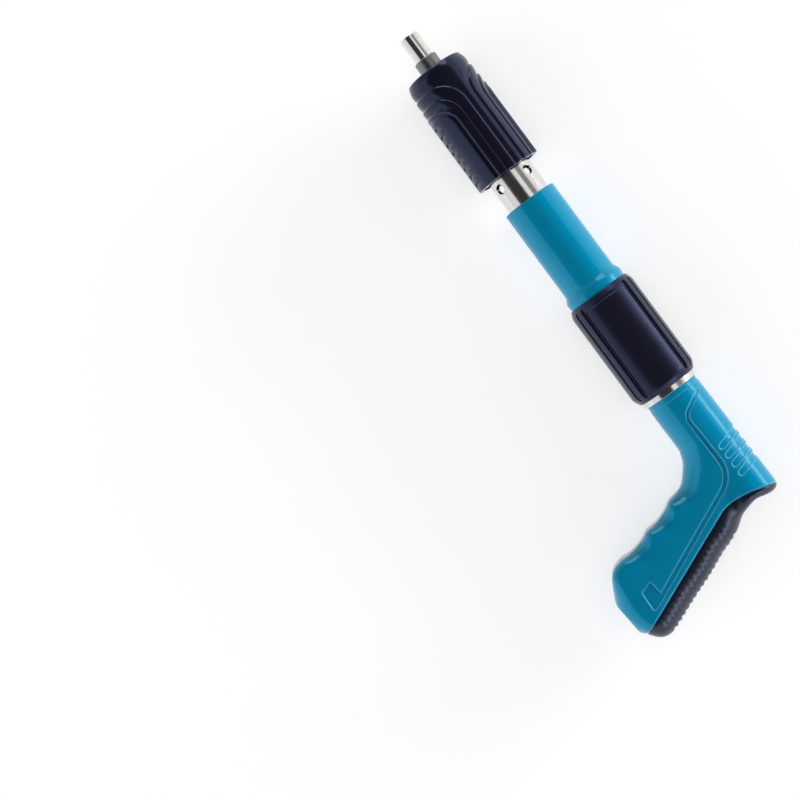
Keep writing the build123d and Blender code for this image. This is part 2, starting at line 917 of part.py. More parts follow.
parts = {
    "nozzle": make_nozzle(),
    "nozzle_lock_nut": make_lock_nut(),
    "muzzle_plug": make_muzzle_plug(),
    "launch_tube": make_launch_tube(),
    "silencer_sleeve": make_sleeve(),
    "silencer_baffles": make_baffles(),
    "silencer_end_ring": make_end_ring(),
    "silencer_seal": make_silencer_seal(),
    "stop_buffer": make_stop_buffer(),
    "stop_ring": make_stop_ring(),
    "tube_circlip": make_circlip(),
    "breech_plug": make_breech_plug(),
    "breech_screws": make_breech_screws(),
    "trip_collet": make_collet(),
    "firing_rod": make_firing_rod(),
    "hammer": make_hammer(),
    "hammer_pin": make_hammer_pin(),
    "body_tube": make_body_tube(),
    "front_bush": make_front_bush(),
    "wiper_seal": make_wiper_seal(),
    "grip_sleeve": make_grip_sleeve(),
    "joint_collar": make_joint_collar(),
    "joint_screws": make_joint_screws(),
    "return_spring": make_return_spring(),
    "return_spring_washer": make_washer(),
    "striker_housing": make_housing(),
    "main_spring": make_main_spring(),
    "spring_guide": make_spring_guide(),
    "rear_plug": make_rear_plug(),
    "plug_pin": make_plug_pin(),
    "recoil_pad": make_recoil_pad(),
    "handle_left": handle_left,
    "handle_right": handle_right,
    "handle_back_grip": handle_back_grip,
    "handle_screws": make_handle_screws(),
    "handle_inserts": make_handle_inserts(),
    "handle_lock_pin": make_lock_pin(),
}

os.makedirs("parts", exist_ok=True)
for name, solid in parts.items():
    export_step(solid, f"parts/{name}.step")
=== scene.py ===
"""Finished looks of a press-to-fire cordless nailer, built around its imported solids."""
import json
import math
from types import SimpleNamespace

import bmesh
import bpy
import numpy as np
from mathutils import Matrix, Vector

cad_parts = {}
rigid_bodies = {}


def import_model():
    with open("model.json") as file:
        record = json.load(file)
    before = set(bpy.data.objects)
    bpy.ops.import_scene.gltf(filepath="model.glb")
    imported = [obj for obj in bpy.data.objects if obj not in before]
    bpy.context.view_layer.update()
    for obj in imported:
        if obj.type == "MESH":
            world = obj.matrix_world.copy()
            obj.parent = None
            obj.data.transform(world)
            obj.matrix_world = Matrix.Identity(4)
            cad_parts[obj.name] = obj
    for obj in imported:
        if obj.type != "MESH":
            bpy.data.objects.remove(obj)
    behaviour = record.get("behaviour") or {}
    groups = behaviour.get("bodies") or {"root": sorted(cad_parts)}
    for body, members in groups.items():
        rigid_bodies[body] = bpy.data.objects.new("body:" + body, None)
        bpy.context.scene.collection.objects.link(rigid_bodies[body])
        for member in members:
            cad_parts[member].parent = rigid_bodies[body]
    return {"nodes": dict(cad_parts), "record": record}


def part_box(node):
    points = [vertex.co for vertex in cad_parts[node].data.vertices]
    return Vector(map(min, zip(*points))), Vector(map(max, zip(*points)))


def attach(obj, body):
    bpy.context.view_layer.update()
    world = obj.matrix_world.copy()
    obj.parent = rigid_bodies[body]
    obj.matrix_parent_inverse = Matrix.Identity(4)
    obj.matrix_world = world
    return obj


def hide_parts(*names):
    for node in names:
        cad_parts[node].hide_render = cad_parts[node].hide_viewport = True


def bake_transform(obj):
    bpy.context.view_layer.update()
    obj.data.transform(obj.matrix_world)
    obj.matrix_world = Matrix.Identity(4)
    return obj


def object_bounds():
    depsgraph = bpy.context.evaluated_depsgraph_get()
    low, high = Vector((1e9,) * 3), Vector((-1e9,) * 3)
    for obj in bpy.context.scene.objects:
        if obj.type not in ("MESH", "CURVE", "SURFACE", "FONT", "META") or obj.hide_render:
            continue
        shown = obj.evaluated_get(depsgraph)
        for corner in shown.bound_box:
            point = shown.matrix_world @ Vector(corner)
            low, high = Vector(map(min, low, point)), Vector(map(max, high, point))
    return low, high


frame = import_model()
cad_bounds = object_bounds()

bl_info = {
    "name": "Cordless nailer",
    "version": (1, 0, 0),
    "blender": (4, 5, 0),
    "location": "3D View > Sidebar > Nailer",
    "description": "Builds the outer pieces, finishes and studio of a press-to-fire nailer",
    "category": "Object",
}

MM = 0.001


def linear(code):
    """Linear colour of an sRGB hex code."""
    shares = [int(code[place:place + 2], 16) / 255 for place in (1, 3, 5)]
    return tuple(s / 12.92 if s <= 0.04045 else ((s + 0.055) / 1.055) ** 2.4 for s in shares)


def length(name, description, size):
    """Property that holds a length, with its default in millimetres."""
    return bpy.props.FloatProperty(
        name=name, description=description, default=size * MM, min=0.0, precision=5,
        subtype="DISTANCE", unit="LENGTH",
    )


def colour(name, description, code):
    """Property that holds a colour, with its default as an sRGB hex code."""
    return bpy.props.FloatVectorProperty(
        name=name, description=description, default=linear(code), size=3, min=0.0, max=1.0,
        subtype="COLOR",
    )


def turn(name, description, degrees):
    """Property that holds an angle, with its default in degrees."""
    return bpy.props.FloatProperty(
        name=name, description=description, default=math.radians(degrees), subtype="ANGLE", unit="ROTATION",
    )


def group(kind, name, description):
    """Property that holds a group of properties."""
    return bpy.props.PointerProperty(type=kind, name=name, description=description)


class NailerColours(bpy.types.PropertyGroup):
    """Colours of the finishes."""

    teal: colour("Teal", "Body tube and handle shells", "#0083AA")
    navy: colour("Navy", "Silencer sleeve and grip sleeve", "#161622")
    rubber: colour("Rubber", "Back of the handle and the seals", "#0E101B")
    stainless: colour("Stainless", "Nozzle, launch tube and collar", "#E4E2DF")
    floor: colour("Floor", "Studio floor", "#C6C6C6")


class MetalSizes(bpy.types.PropertyGroup):
    """Sizes of the turned steel pieces."""

    edge_round: length("Edge round", "Rounding of turned edges", 0.25)
    nozzle_bore: length("Nail bore", "Radius of the nozzle's bore", 4.1)
    mouth_chamfer: length("Mouth chamfer", "Chamfer at the nozzle's mouth", 0.6)
    tube_wall: length("Tube wall", "Wall of the launch tube", 2.0)
    vent_radius: length("Vent radius", "Radius of the gas vents", 3.0)
    vent_setback: length("Vent setback", "From the silencer sleeve's rear to the vents", 5.8)
    vent_sink: length("Vent countersink", "Width of the countersink round a vent", 0.45)
    housing_room: length("Collar bore", "Radius of the collar's bore", 12.15)
    tail_radius: length("Collar tail", "Radius of the collar's tail in the handle", 15.0)


class SleeveSizes(bpy.types.PropertyGroup):
    """Sizes of the silencer sleeve."""

    radius: length("Radius", "Radius in front of the pads", 20.2)
    bore: length("Bore", "Radius of the silencer chamber", 18.0)
    front_hole: length("Front hole", "Radius of the hole for the nozzle", 6.15)
    front_wall: length("Front wall", "Thickness of the front wall", 5.0)
    nose_drop: length("Nose drop", "How far the nose draws in", 1.8)
    grid: length("Grid", "Spacing of the mesh that carries the relief", 0.36)
    pad_turn: turn("Pad turn", "Angle of the pads from the upper side", 61.5)
    shelf: length("Shelf", "Height that each nested pad adds", 0.36)
    dip: length("Dip", "Hollow in front of each nested pad", 0.4)
    dip_reach: length("Dip reach", "Width of that hollow", 5.0)
    crease: length("Crease", "Depth of the crease at each pad's front", 0.45)
    lip_drop: length("Lip drop", "From the innermost lip down to the groove behind it", 0.7)
    groove_width: length("Groove width", "Width of that groove", 3.0)
    notch_pitch: length("Notch pitch", "Distance between finger notches", 5.8)
    notch_depth: length("Notch depth", "Depth of a finger notch", 0.8)


class TubeSizes(bpy.types.PropertyGroup):
    """Sizes of the body tube."""

    radius: length("Radius", "Outside of the tube", 17.4)
    bore: length("Bore", "Main bore", 15.4)
    throat: length("Throat", "Bore in front of the stop shoulder", 14.7)
    bush_bore: length("Bush bore", "Bore that holds the slide bush", 16.03)
    bush_depth: length("Bush depth", "Depth of that bore", 30.4)
    shoulder: length("Stop shoulder", "From the tube's front to the stop shoulder", 58.3)
    flare_start: length("Flare start", "From the flare's foot to the grip sleeve", 8.5)
    flare_end: length("Flare end", "Width of the flare's rim", 4.8)
    flare_height: length("Flare height", "Height of the flare", 2.1)
    rim_drop: length("Rim drop", "How far the rim draws in towards the grip sleeve", 0.4)


class GripSizes(bpy.types.PropertyGroup):
    """Sizes of the grip sleeve."""

    bore: length("Bore", "Fit on the body tube", 17.45)
    front_radius: length("Front radius", "Radius at the front edge", 20.0)
    front_taper: length("Front taper", "Length of the front taper", 4.2)
    rear_radius: length("Rear radius", "Radius at the rear edge", 19.3)
    rear_taper: length("Rear taper", "Length of the rear taper", 4.8)
    grid: length("Grid", "Spacing of the mesh that carries the relief", 0.36)
    middle_turn: turn("Panel middle", "Angle of the panel's middle from the upper side", -4)
    panel_turn: turn("Panel edge", "Angle of the panel's edge from its middle", 44.5)
    rail_turn: turn("Rail edge", "Angle of the second groove", 62)
    panel_front: length("Panel front", "From the sleeve's front to the panel", 4.1)
    panel_rear: length("Panel rear", "From the panel to the sleeve's rear", 3.2)
    groove_margin: length("Groove margin", "From the sleeve's ends to the grooves", 2.2)
    panel_sink: length("Panel sink", "Depth of the panel", 0.8)
    panel_groove: length("Panel groove", "Width of the groove along the panel", 2.2)
    rail_groove: length("Rail groove", "Width of the second groove", 1.5)
    groove_depth: length("Groove depth", "Depth of a groove", 1.2)


class HandleSizes(bpy.types.PropertyGroup):
    """Sizes of the handle shells and their rubber back."""

    radius: length("Radius", "Radius of the handle's front", 17.5)
    voxel: length("Voxel", "Grid of the blended skin", 0.52)
    collar_bore: length("Collar bore", "Radius of the bore for the collar", 15.05)
    collar_depth: length("Collar depth", "Depth of that bore", 35.2)
    housing_bore: length("Housing bore", "Radius of the bore for the mechanism", 12.15)
    housing_depth: length("Housing depth", "Depth of that bore", 74.7)
    rubber: length("Rubber", "Thickness of the rubber back", 3.0)
    channel_width: length("Channel width", "Width of the side channel", 2.7)
    channel_depth: length("Channel depth", "Depth of the side channel", 0.6)
    channel_edge: length("Channel edge", "Half width of the channel's rounded edge", 0.28)
    slot_width: length("Slot width", "Width of the slots over the rear", 3.4)
    slot_depth: length("Slot depth", "Depth of those slots", 0.7)
    lip: length("Lip", "From the handle's front to the step of its lip", 3.4)
    lip_step: length("Lip step", "Height of that step", 0.4)
    rib_height: length("Rib height", "Height of the ribs on the rubber", 0.6)
    screw_seat: length("Screw seat", "From the parting plane to the screw heads", 9.0)
    screw_room: length("Screw room", "Radius of the holes over the screw heads", 3.3)


class NailerSettings(bpy.types.PropertyGroup):
    """Everything that a user of the model may change."""

    colours: group(NailerColours, "Colours", "Colours of the finishes")
    metal: group(MetalSizes, "Steel", "Sizes of the steel pieces")
    sleeve: group(SleeveSizes, "Sleeve", "Sizes of the silencer sleeve")
    tube: group(TubeSizes, "Tube", "Sizes of the body tube")
    grip: group(GripSizes, "Grip", "Sizes of the grip sleeve")
    handle: group(HandleSizes, "Handle", "Sizes of the handle")


def in_mm(sizes):
    """Values of a property group by name, with its lengths in millimetres and its angles in radians."""
    values = SimpleNamespace()
    for entry in sizes.bl_rna.properties:
        if entry.type == "FLOAT":
            unit = MM if entry.unit == "LENGTH" else 1.0
            setattr(values, entry.identifier, getattr(sizes, entry.identifier) / unit)
    return values


# Vertices closer than this are merged, in metres
MERGE_REACH = 1e-6
# Segments of a rounded corner, and steps of a full turn
ROUND_STEPS = 5
BAR_STEPS = 48
HOLE_STEPS = 64
NOZZLE_STEPS = 160
BORE_STEPS = 160
TUBE_STEPS = 224
BODY_STEPS = 256
SLEEVE_STEPS = 384
GRIP_STEPS = 400
# Edges that bend more than this stay sharp, in degrees
TURNED_CREASE = 40.0
ENAMEL_CREASE = 50.0
HANDLE_CREASE = 55.0
SLEEVE_CREASE = 60.0
# Drilled holes, in millimetres: what a bar reaches past a wall, and where screw holes start from a bore
DRILL_PAST = 2.0
SCREW_START = 1.0
SCREW_HOLE = 2.05
SCREW_COUNT = 3
# Share of the way to the mean of its neighbours that a vertex moves in one pass
RELAX = 0.5


def span(node):
    """Front station, rear station and largest radius of a node on the barrel axis, in millimetres."""
    low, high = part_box(node)
    return -high.x / MM, -low.x / MM, high.z / MM


def smooth_step(low, high, value):
    """Rises smoothly from 0 at low to 1 at high."""
    share = np.clip((value - low) / (high - low), 0.0, 1.0)
    return share * share * (3.0 - 2.0 * share)


def fade(low, high, value):
    """Falls smoothly from 1 at low to 0 at high."""
    return 1 - smooth_step(low, high, value)


def mound(away, width):
    """Falls smoothly from 1 at no distance to almost 0 at two widths."""
    return np.exp(-((away / width) ** 2))


def of_kind(parts, kind):
    """The parts of one kind from what a bmesh operator gives back."""
    return [part for part in parts if isinstance(part, kind)]


def stored(shape, mesh):
    """Mesh that a bmesh is written to, which is freed."""
    shape.to_mesh(mesh)
    shape.free()
    return mesh


def finished(shape, name):
    """Mesh of a bmesh, with its doubles merged and its faces turned outwards."""
    bmesh.ops.remove_doubles(shape, verts=shape.verts[:], dist=MERGE_REACH)
    bmesh.ops.recalc_face_normals(shape, faces=shape.faces[:])
    return stored(shape, bpy.data.meshes.new(name))


def relax(shape, verts, passes):
    """Smooths some vertices of a bmesh, in a number of passes."""
    for _ in range(passes):
        bmesh.ops.smooth_vert(
            shape, verts=verts, factor=RELAX, use_axis_x=True, use_axis_y=True, use_axis_z=True
        )


def turned(profile, steps, grid=None, above=0.0):
    """Bmesh of a closed profile of (station, radius, rounding), spun about the barrel axis.

    With a grid, longer edges of the outline above a radius are divided, so that a relief can be laid on."""
    shape = bmesh.new()
    corners = [shape.verts.new((-station * MM, 0.0, radius * MM)) for station, radius, rounding in profile]
    for start, end in zip(corners, corners[1:] + corners[:1]):
        shape.edges.new((start, end))
    for corner, (station, radius, rounding) in zip(corners, profile):
        if rounding:
            bmesh.ops.bevel(
                shape, geom=[corner], offset=rounding * MM, offset_type="OFFSET", segments=ROUND_STEPS,
                profile=0.5, affect="VERTICES", material=-1, clamp_overlap=True,
            )
    if grid:
        for edge in shape.edges[:]:
            cuts = int(edge.calc_length() / (grid * MM))
            if cuts and min(vert.co.z for vert in edge.verts) > above * MM:
                bmesh.ops.subdivide_edges(shape, edges=[edge], cuts=cuts)
    bmesh.ops.spin(
        shape, geom=shape.verts[:] + shape.edges[:], cent=(0, 0, 0), axis=(1, 0, 0), dvec=(0, 0, 0),
        angle=math.tau, steps=steps, use_merge=True,
    )
    return shape


def radial_tools(stations, count, first, radius, inner, outer, sink=0.0):
    """Mesh of round bars that point out from the barrel axis, to drill its tubes."""
    end = -outer - DRILL_PAST
    profile = [(-inner, 0, 0), (-inner, radius, 0), (-outer + sink, radius, 0)]
    if sink:
        profile.append((-outer - sink, radius + 2 * sink, 0))
    profile += [(end, radius + 2 * sink, 0), (end, 0, 0)]
    tools = bmesh.new()
    for station in stations:
        for index in range(count):
            bar = turned(profile, BAR_STEPS)
            place = Matrix.Translation((-station * MM, 0, 0))
            place = place @ Matrix.Rotation(math.radians(first + index * 360 / count), 4, "X")
            place = place @ Matrix.Rotation(math.radians(-90), 4, "Y")
            bmesh.ops.transform(bar, matrix=place, verts=bar.verts[:])
            mesh = finished(bar, "bar")
            tools.from_mesh(mesh)
            bpy.data.meshes.remove(mesh)
    return finished(tools, "bars")


def screw_tools(node, inner, outer):
    """Mesh of the bars that drill the holes for a node's grub screws."""
    low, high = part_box(node)
    return radial_tools([-(low.x + high.x) / 2 / MM], SCREW_COUNT, 0, SCREW_HOLE, inner, outer)


def linked(name, data):
    """Object for a mesh, lamp or camera, linked to the scene."""
    made = bpy.data.objects.new(name, data)
    bpy.context.scene.collection.objects.link(made)
    return made


def applied(mesh, kind, **settings):
    """Mesh that one modifier makes of another mesh, which is removed."""
    holder = linked("holder", mesh)
    modifier = holder.modifiers.new(kind, kind)
    for key, value in settings.items():
        setattr(modifier, key, value)
    graph = bpy.context.evaluated_depsgraph_get()
    made = bpy.data.meshes.new_from_object(holder.evaluated_get(graph))
    bpy.data.objects.remove(holder)
    bpy.data.meshes.remove(mesh)
    return made


def cut(mesh, tool_mesh, operation="DIFFERENCE", keep_tool=False):
    """Mesh after a Boolean with a tool."""
    tool = linked("tool", tool_mesh)
    made = applied(mesh, "BOOLEAN", object=tool, operation=operation, solver="MANIFOLD")
    bpy.data.objects.remove(tool)
    if not keep_tool:
        bpy.data.meshes.remove(tool_mesh)
    return made


def check_closed(name, mesh):
    """Stops the script if a piece has open edges or no volume."""
    shape = bmesh.new()
    shape.from_mesh(mesh)
    loose = sum(1 for edge in shape.edges if len(edge.link_faces) != 2)
    volume = shape.calc_volume()
    shape.free()
    if loose or volume <= 0:
        raise RuntimeError(f"{name} isn't a closed piece: {loose} open edges, volume {volume}")


def points_of(mesh):
    """Vertices of a mesh as rows, in millimetres."""
    flat = np.empty(len(mesh.vertices) * 3)
    mesh.vertices.foreach_get("co", flat)
    return flat.reshape(-1, 3) / MM


def normals_of(mesh):
    """Vertex normals of a mesh as rows."""
    flat = np.empty(len(mesh.vertices) * 3)
    mesh.vertex_normals.foreach_get("vector", flat)
    return flat.reshape(-1, 3)


def move_points(mesh, points):
    """Puts the vertices of a mesh at new places, given in millimetres."""
    mesh.vertices.foreach_set("co", (points * MM).ravel())
    mesh.update()


def about_axis(points):
    """Station, angle and reach of points about the barrel axis."""
    return -points[:, 0], np.arctan2(points[:, 1], points[:, 2]), np.hypot(points[:, 1], points[:, 2])


def from_middle(angle, middle):
    """Angle from a middle line or from the one opposite it, whichever is nearer."""
    return (angle - middle + math.pi / 2) % math.pi - math.pi / 2


def raise_skin(mesh, points, reach, height):
    """Puts the vertices of a mesh at points that are moved away from the barrel axis by a height."""
    points[:, 1:] *= (1 + height / np.maximum(reach, 1))[:, None]
    move_points(mesh, points)


def add_piece(name, mesh, look, body, node, crease=TURNED_CREASE):
    """Object that stands for a CAD node, takes a finish, and rides on a body unless that is None."""
    check_closed(name, mesh)
    mesh.materials.clear()
    mesh.materials.append(finish(look))
    mesh.polygons.foreach_set("use_smooth", [True] * len(mesh.polygons))
    mesh.set_sharp_from_angle(angle=math.radians(crease))
    piece = linked(name, mesh)
    if body:
        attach(piece, body)
    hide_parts(node)
    return piece


WHITE = (1.0, 1.0, 1.0, 1.0)
# Point attribute that carries the painted highlights along the handle's edges
EDGE_HIGHLIGHT_ATTRIBUTE = "rubbed"
EVEN = (1.0, 1.0, 1.0)
METAL = {"Metallic": 1.0}
# Rings that the lathe leaves, drawn 0.5 mm apart, coarser than the real ones, so that they show
LATHE = {"shading": METAL, "grain": 0.5, "stretch": (1.0, 0.02, 0.02)}
NAVY = {
    "tint": "navy", "shading": {"IOR": 1.62, "Specular Tint": (0.42, 0.52, 1.0, 1.0)}, "patch": 18.0,
    "change": 0.06,
}
TEAL = {
    "tint": "teal", "shading": {"IOR": 1.5, "Specular Tint": (0.48, 0.98, 1.0, 1.0)}, "patch": 30.0,
    "change": 0.03,
}
FINISHES = {
    # Turned and polished stainless steel: sharp light and dark bands, with faint rings left by the tool.
    "stainless_steel": dict(
        LATHE, tint="stainless", roughness=(0.13, 0.2), bump=0.05, patch=40.0, change=0.03,
    ),
    # Blackened and oiled steel: dark grey metal with soft reflections and the same rings.
    "oiled_steel": dict(LATHE, tint="#87878B", roughness=(0.34, 0.42), bump=0.06, patch=15.0, change=0.05),
    # Machined carbon steel: grey, with tool rings.
    "machined_steel": dict(LATHE, tint="#A8A9AC", roughness=(0.22, 0.34), bump=0.1, patch=15.0, change=0.05),
    # Machined aluminium: pale and duller than the steel.
    "machined_aluminium": dict(
        LATHE, tint="#C9CACC", roughness=(0.25, 0.38), bump=0.1, patch=15.0, change=0.04,
    ),
    # Turned brass: yellow metal with tool rings.
    "turned_brass": dict(LATHE, tint="#C3A368", roughness=(0.2, 0.32), bump=0.1, patch=10.0, change=0.05),
    # Sintered bronze: warm brown metal with an open grain, drawn at 0.3 mm, coarser than the real one.
    "sintered_bronze": dict(
        tint="#AD8759", shading=METAL, roughness=(0.32, 0.48), grain=0.3, bump=0.2, patch=6.0, change=0.1,
    ),
    # Moulded ABS from a polished tool: nearly black, with clear bluish reflections.
    "glossy_navy_abs": dict(NAVY, roughness=(0.13, 0.17), grain=0.8, bump=0.02),
    # Moulded ABS from a spark-eroded tool: nearly black, with soft bluish reflections and a fine grain.
    # The grain is drawn at 0.5 mm, coarser than the real one, so that it shows.
    "satin_navy_abs": dict(NAVY, roughness=(0.26, 0.33), grain=0.5, bump=0.05),
    # Baked enamel on steel: deep teal under a glossy skin, with a slight orange peel 2 mm across.
    "baked_teal_enamel": dict(TEAL, roughness=(0.07, 0.1), grain=2.0, bump=0.02),
    # Glossy moulded ABS: the enamel's colour, with a painted highlight along the edges of its details, where
    # a paler colour stands in for light catching them.
    "glossy_teal_abs": dict(TEAL, roughness=(0.08, 0.11), grain=1.2, bump=0.015, edge_highlight=0.08),
    # Moulded nitrile rubber: nearly black, with dull broad highlights and a matt skin, whose grain is drawn
    # at 0.6 mm, coarser than the real one.
    "matt_black_rubber": dict(
        tint="rubber", shading={"IOR": 1.78, "Specular Tint": (0.62, 0.7, 1.0, 1.0)}, roughness=(0.24, 0.32),
        grain=0.6, bump=0.08, patch=12.0, change=0.08,
    ),
    # Painted studio floor: even, pale and dull.
    "painted_floor": dict(
        tint="floor", shading={"Specular IOR Level": 0.1}, roughness=(0.6, 0.7), grain=5.0, bump=0.0,
        patch=300.0, change=0.005,
    ),
}
# Noise of the finishes: its detail, the grain's range and depth, and how much paler a painted edge highlight
# is
PATCH_DETAIL = 3.0
GRAIN_DETAIL = 4.0
GRAIN_RANGE = (0.3, 0.7)
GRAIN_DEPTH = 0.25
EDGE_HIGHLIGHT_SHARE = 1.3


def add_node(tree, kind, settings, inputs):
    """Adds a shader node, with its settings and with a value or a link for each named input."""
    node = tree.nodes.new(kind)
    for key, value in settings.items():
        setattr(node, key, value)
    for key, value in inputs.items():
        if isinstance(value, bpy.types.NodeSocket):
            tree.links.new(value, node.inputs[key])
        else:
            node.inputs[key].default_value = value
    return node


def scaled(tint, share):
    """Colour made lighter or darker, with an opaque alpha."""
    return tuple(min(part * share, 1.0) for part in tint) + (1.0,)


def surface(name, tint, shading, roughness, grain, bump, patch, change, stretch=EVEN, edge_highlight=0.0):
    """Finish with a fine grain and a slow change of colour in patches.

    The tint is a hex code or one of the user's colours, grain and patches are given in millimetres, and
    roughness as its least and most."""
    colours = bpy.context.scene.nailer.colours
    tint = linear(tint) if tint.startswith("#") else getattr(colours, tint)
    material = bpy.data.materials.new(name)
    material.use_nodes = True
    tree = material.node_tree
    shader = tree.nodes["Principled BSDF"]
    for key, value in shading.items():
        shader.inputs[key].default_value = value
    place = add_node(tree, "ShaderNodeTexCoord", {}, {}).outputs["Object"]
    slow = add_node(
        tree, "ShaderNodeTexNoise", {}, {"Vector": place, "Scale": 1 / (patch * MM), "Detail": PATCH_DETAIL}
    )
    blend = add_node(
        tree, "ShaderNodeMix", {"data_type": "RGBA"},
        {"Factor": slow.outputs["Fac"], "A": scaled(tint, 1 - change), "B": scaled(tint, 1 + change)},
    )
    shown = blend.outputs["Result"]
    # Painted highlight: the colour turns paler along the marked edges, standing in for light that catches
    # them
    if edge_highlight:
        rubbed = add_node(tree, "ShaderNodeAttribute", {"attribute_name": EDGE_HIGHLIGHT_ATTRIBUTE}, {})
        highlight_colour = scaled([part + edge_highlight for part in tint], EDGE_HIGHLIGHT_SHARE)
        pale = add_node(
            tree, "ShaderNodeMix", {"data_type": "RGBA"},
            {"Factor": rubbed.outputs["Fac"], "A": shown, "B": highlight_colour},
        )
        shown = pale.outputs["Result"]
    tree.links.new(shown, shader.inputs["Base Color"])
    drawn = add_node(tree, "ShaderNodeMapping", {}, {"Vector": place, "Scale": stretch}).outputs["Vector"]
    fine = add_node(
        tree, "ShaderNodeTexNoise", {}, {"Vector": drawn, "Scale": 1 / (grain * MM), "Detail": GRAIN_DETAIL}
    )
    spread = add_node(
        tree, "ShaderNodeMapRange", {},
        {
            "Value": fine.outputs["Fac"], "From Min": GRAIN_RANGE[0], "From Max": GRAIN_RANGE[1],
            "To Min": roughness[0], "To Max": roughness[1],
        },
    )
    tree.links.new(spread.outputs["Result"], shader.inputs["Roughness"])
    relief = add_node(
        tree, "ShaderNodeBump", {},
        {"Height": fine.outputs["Fac"], "Strength": bump, "Distance": grain * MM * GRAIN_DEPTH},
    )
    tree.links.new(relief.outputs["Normal"], shader.inputs["Normal"])
    return material


def finish(name):
    """Material of a finish in the table, made at its first use."""
    return bpy.data.materials.get(name) or surface(name, **FINISHES[name])


# Steel pieces, in millimetres and degrees
FIT = 0.05
CLIP_GROOVE = 0.6
VENT_COUNT = 4
VENT_FIRST = 45
PORT_ROWS = 4
PORTS_IN_ROW = 6
PORT_RADIUS = 2.0


class NAILER_OT_steel(bpy.types.Operator):
    """Turn the nozzle, lock nut, launch tube and joint collar"""

    bl_idname = "nailer.steel"
    bl_label = "Turned steel"

    def add_turned(self, name, profile, steps, look, body, node, *tools):
        """Adds a piece that is spun from a profile and drilled by tools."""
        mesh = finished(turned(profile, steps), name)
        for tool in tools:
            mesh = cut(mesh, tool)
        add_piece(name, mesh, look, body, node)

    def execute(self, context):
        sizes = in_mm(context.scene.nailer.metal)
        edge = sizes.edge_round
        chamfer = sizes.mouth_chamfer
        bore = sizes.nozzle_bore

        front, rear, radius = span("nozzle")
        profile = [
            (front + chamfer / 2, bore, edge), (front, bore + chamfer / 2, 0),
            (front, radius - chamfer, edge), (front + chamfer, radius, edge), (rear, radius, 0),
            (rear, bore, 0),
        ]
        self.add_turned("nozzle_turned", profile, NOZZLE_STEPS, "stainless_steel", "muzzle_unit", "nozzle")

        inner = radius + FIT
        front, rear, radius = span("nozzle_lock_nut")
        profile = [
            (front, inner, 0), (front, radius - chamfer, edge), (front + chamfer, radius, edge),
            (rear, radius, edge), (rear, inner, 0),
        ]
        self.add_turned(
            "lock_nut_turned", profile, NOZZLE_STEPS, "oiled_steel", "muzzle_unit", "nozzle_lock_nut"
        )

        front, rear, radius = span("launch_tube")
        inner = radius - sizes.tube_wall
        clip_front, clip_rear, _ = span("tube_circlip")
        clip_floor = radius - CLIP_GROOVE
        profile = [
            (front, inner, 0), (front, radius, edge), (clip_front, radius, 0), (clip_front, clip_floor, 0),
            (clip_rear, clip_floor, 0), (clip_rear, radius, 0), (rear, radius, edge), (rear, inner, 0),
        ]
        vents = [span("silencer_sleeve")[1] + sizes.vent_setback]
        chamber = span("muzzle_plug")[1]
        pitch = (span("silencer_end_ring")[0] - chamber) / PORT_ROWS
        ports = [chamber + pitch * (index + 0.5) for index in range(PORT_ROWS)]
        start = inner - DRILL_PAST
        self.add_turned(
            "launch_tube_turned", profile, TUBE_STEPS, "stainless_steel", "muzzle_unit", "launch_tube",
            radial_tools(vents, VENT_COUNT, VENT_FIRST, sizes.vent_radius, start, radius, sizes.vent_sink),
            radial_tools(ports, PORTS_IN_ROW, 0, PORT_RADIUS, start, radius),
            screw_tools("breech_screws", start, radius),
        )

        front, rear, radius = span("joint_collar")
        bore = sizes.housing_room
        tail = sizes.tail_radius
        body_rear = span("body_tube")[1]
        handle_front = span("handle_left")[0]
        spigot = in_mm(context.scene.nailer.tube).bore - FIT
        profile = [
            (front, bore, 0), (front, spigot, edge), (body_rear, spigot, 0), (body_rear, radius, edge),
            (handle_front, radius, edge), (handle_front, tail, 0), (rear, tail, edge), (rear, bore, 0),
        ]
        self.add_turned(
            "joint_collar_turned", profile, TUBE_STEPS, "stainless_steel", "body", "joint_collar",
            screw_tools("joint_screws", bore + SCREW_START, radius),
        )
        return {"FINISHED"}


# Silencer sleeve, in millimetres: roundings of its outline, and where its relief starts outside the bore
NOSE_ROUND = 1.3
SHOULDER_ROUND = 2.2
SLEEVE_REAR_ROUND = 0.7
SLEEVE_BORE_ROUND = 0.2
SLEEVE_SKIN = (0.6, 1.6)
# Front station, half angle and corner radius of each nested pad, from the outermost
PADS = [(36.1, 79.5, 17.0), (43.0, 61.5, 14.0), (48.6, 50.5, 12.0)]
# Edges of the pads, measured from their outline, with the crease's fade in radians
PAD_EDGE = 0.7
CREASE_AHEAD = 1.1
CREASE_WIDTH = 0.6
CREASE_FADE = (0.4, 0.95)
LIP_SLOPE = (0.5, 1.8)
# Finger notches, from the innermost pad's front and from each notch's own front and middle
NOTCH_FIRST = 7.0
NOTCH_LAST_ROW = 7
NOTCH_FRONT = (-0.2, 0.2)
NOTCH_SLOPE = (0.4, 2.8)
NOTCH_SIDE = (3.6, 4.2)
NOTCH_SHIFT = 1.2


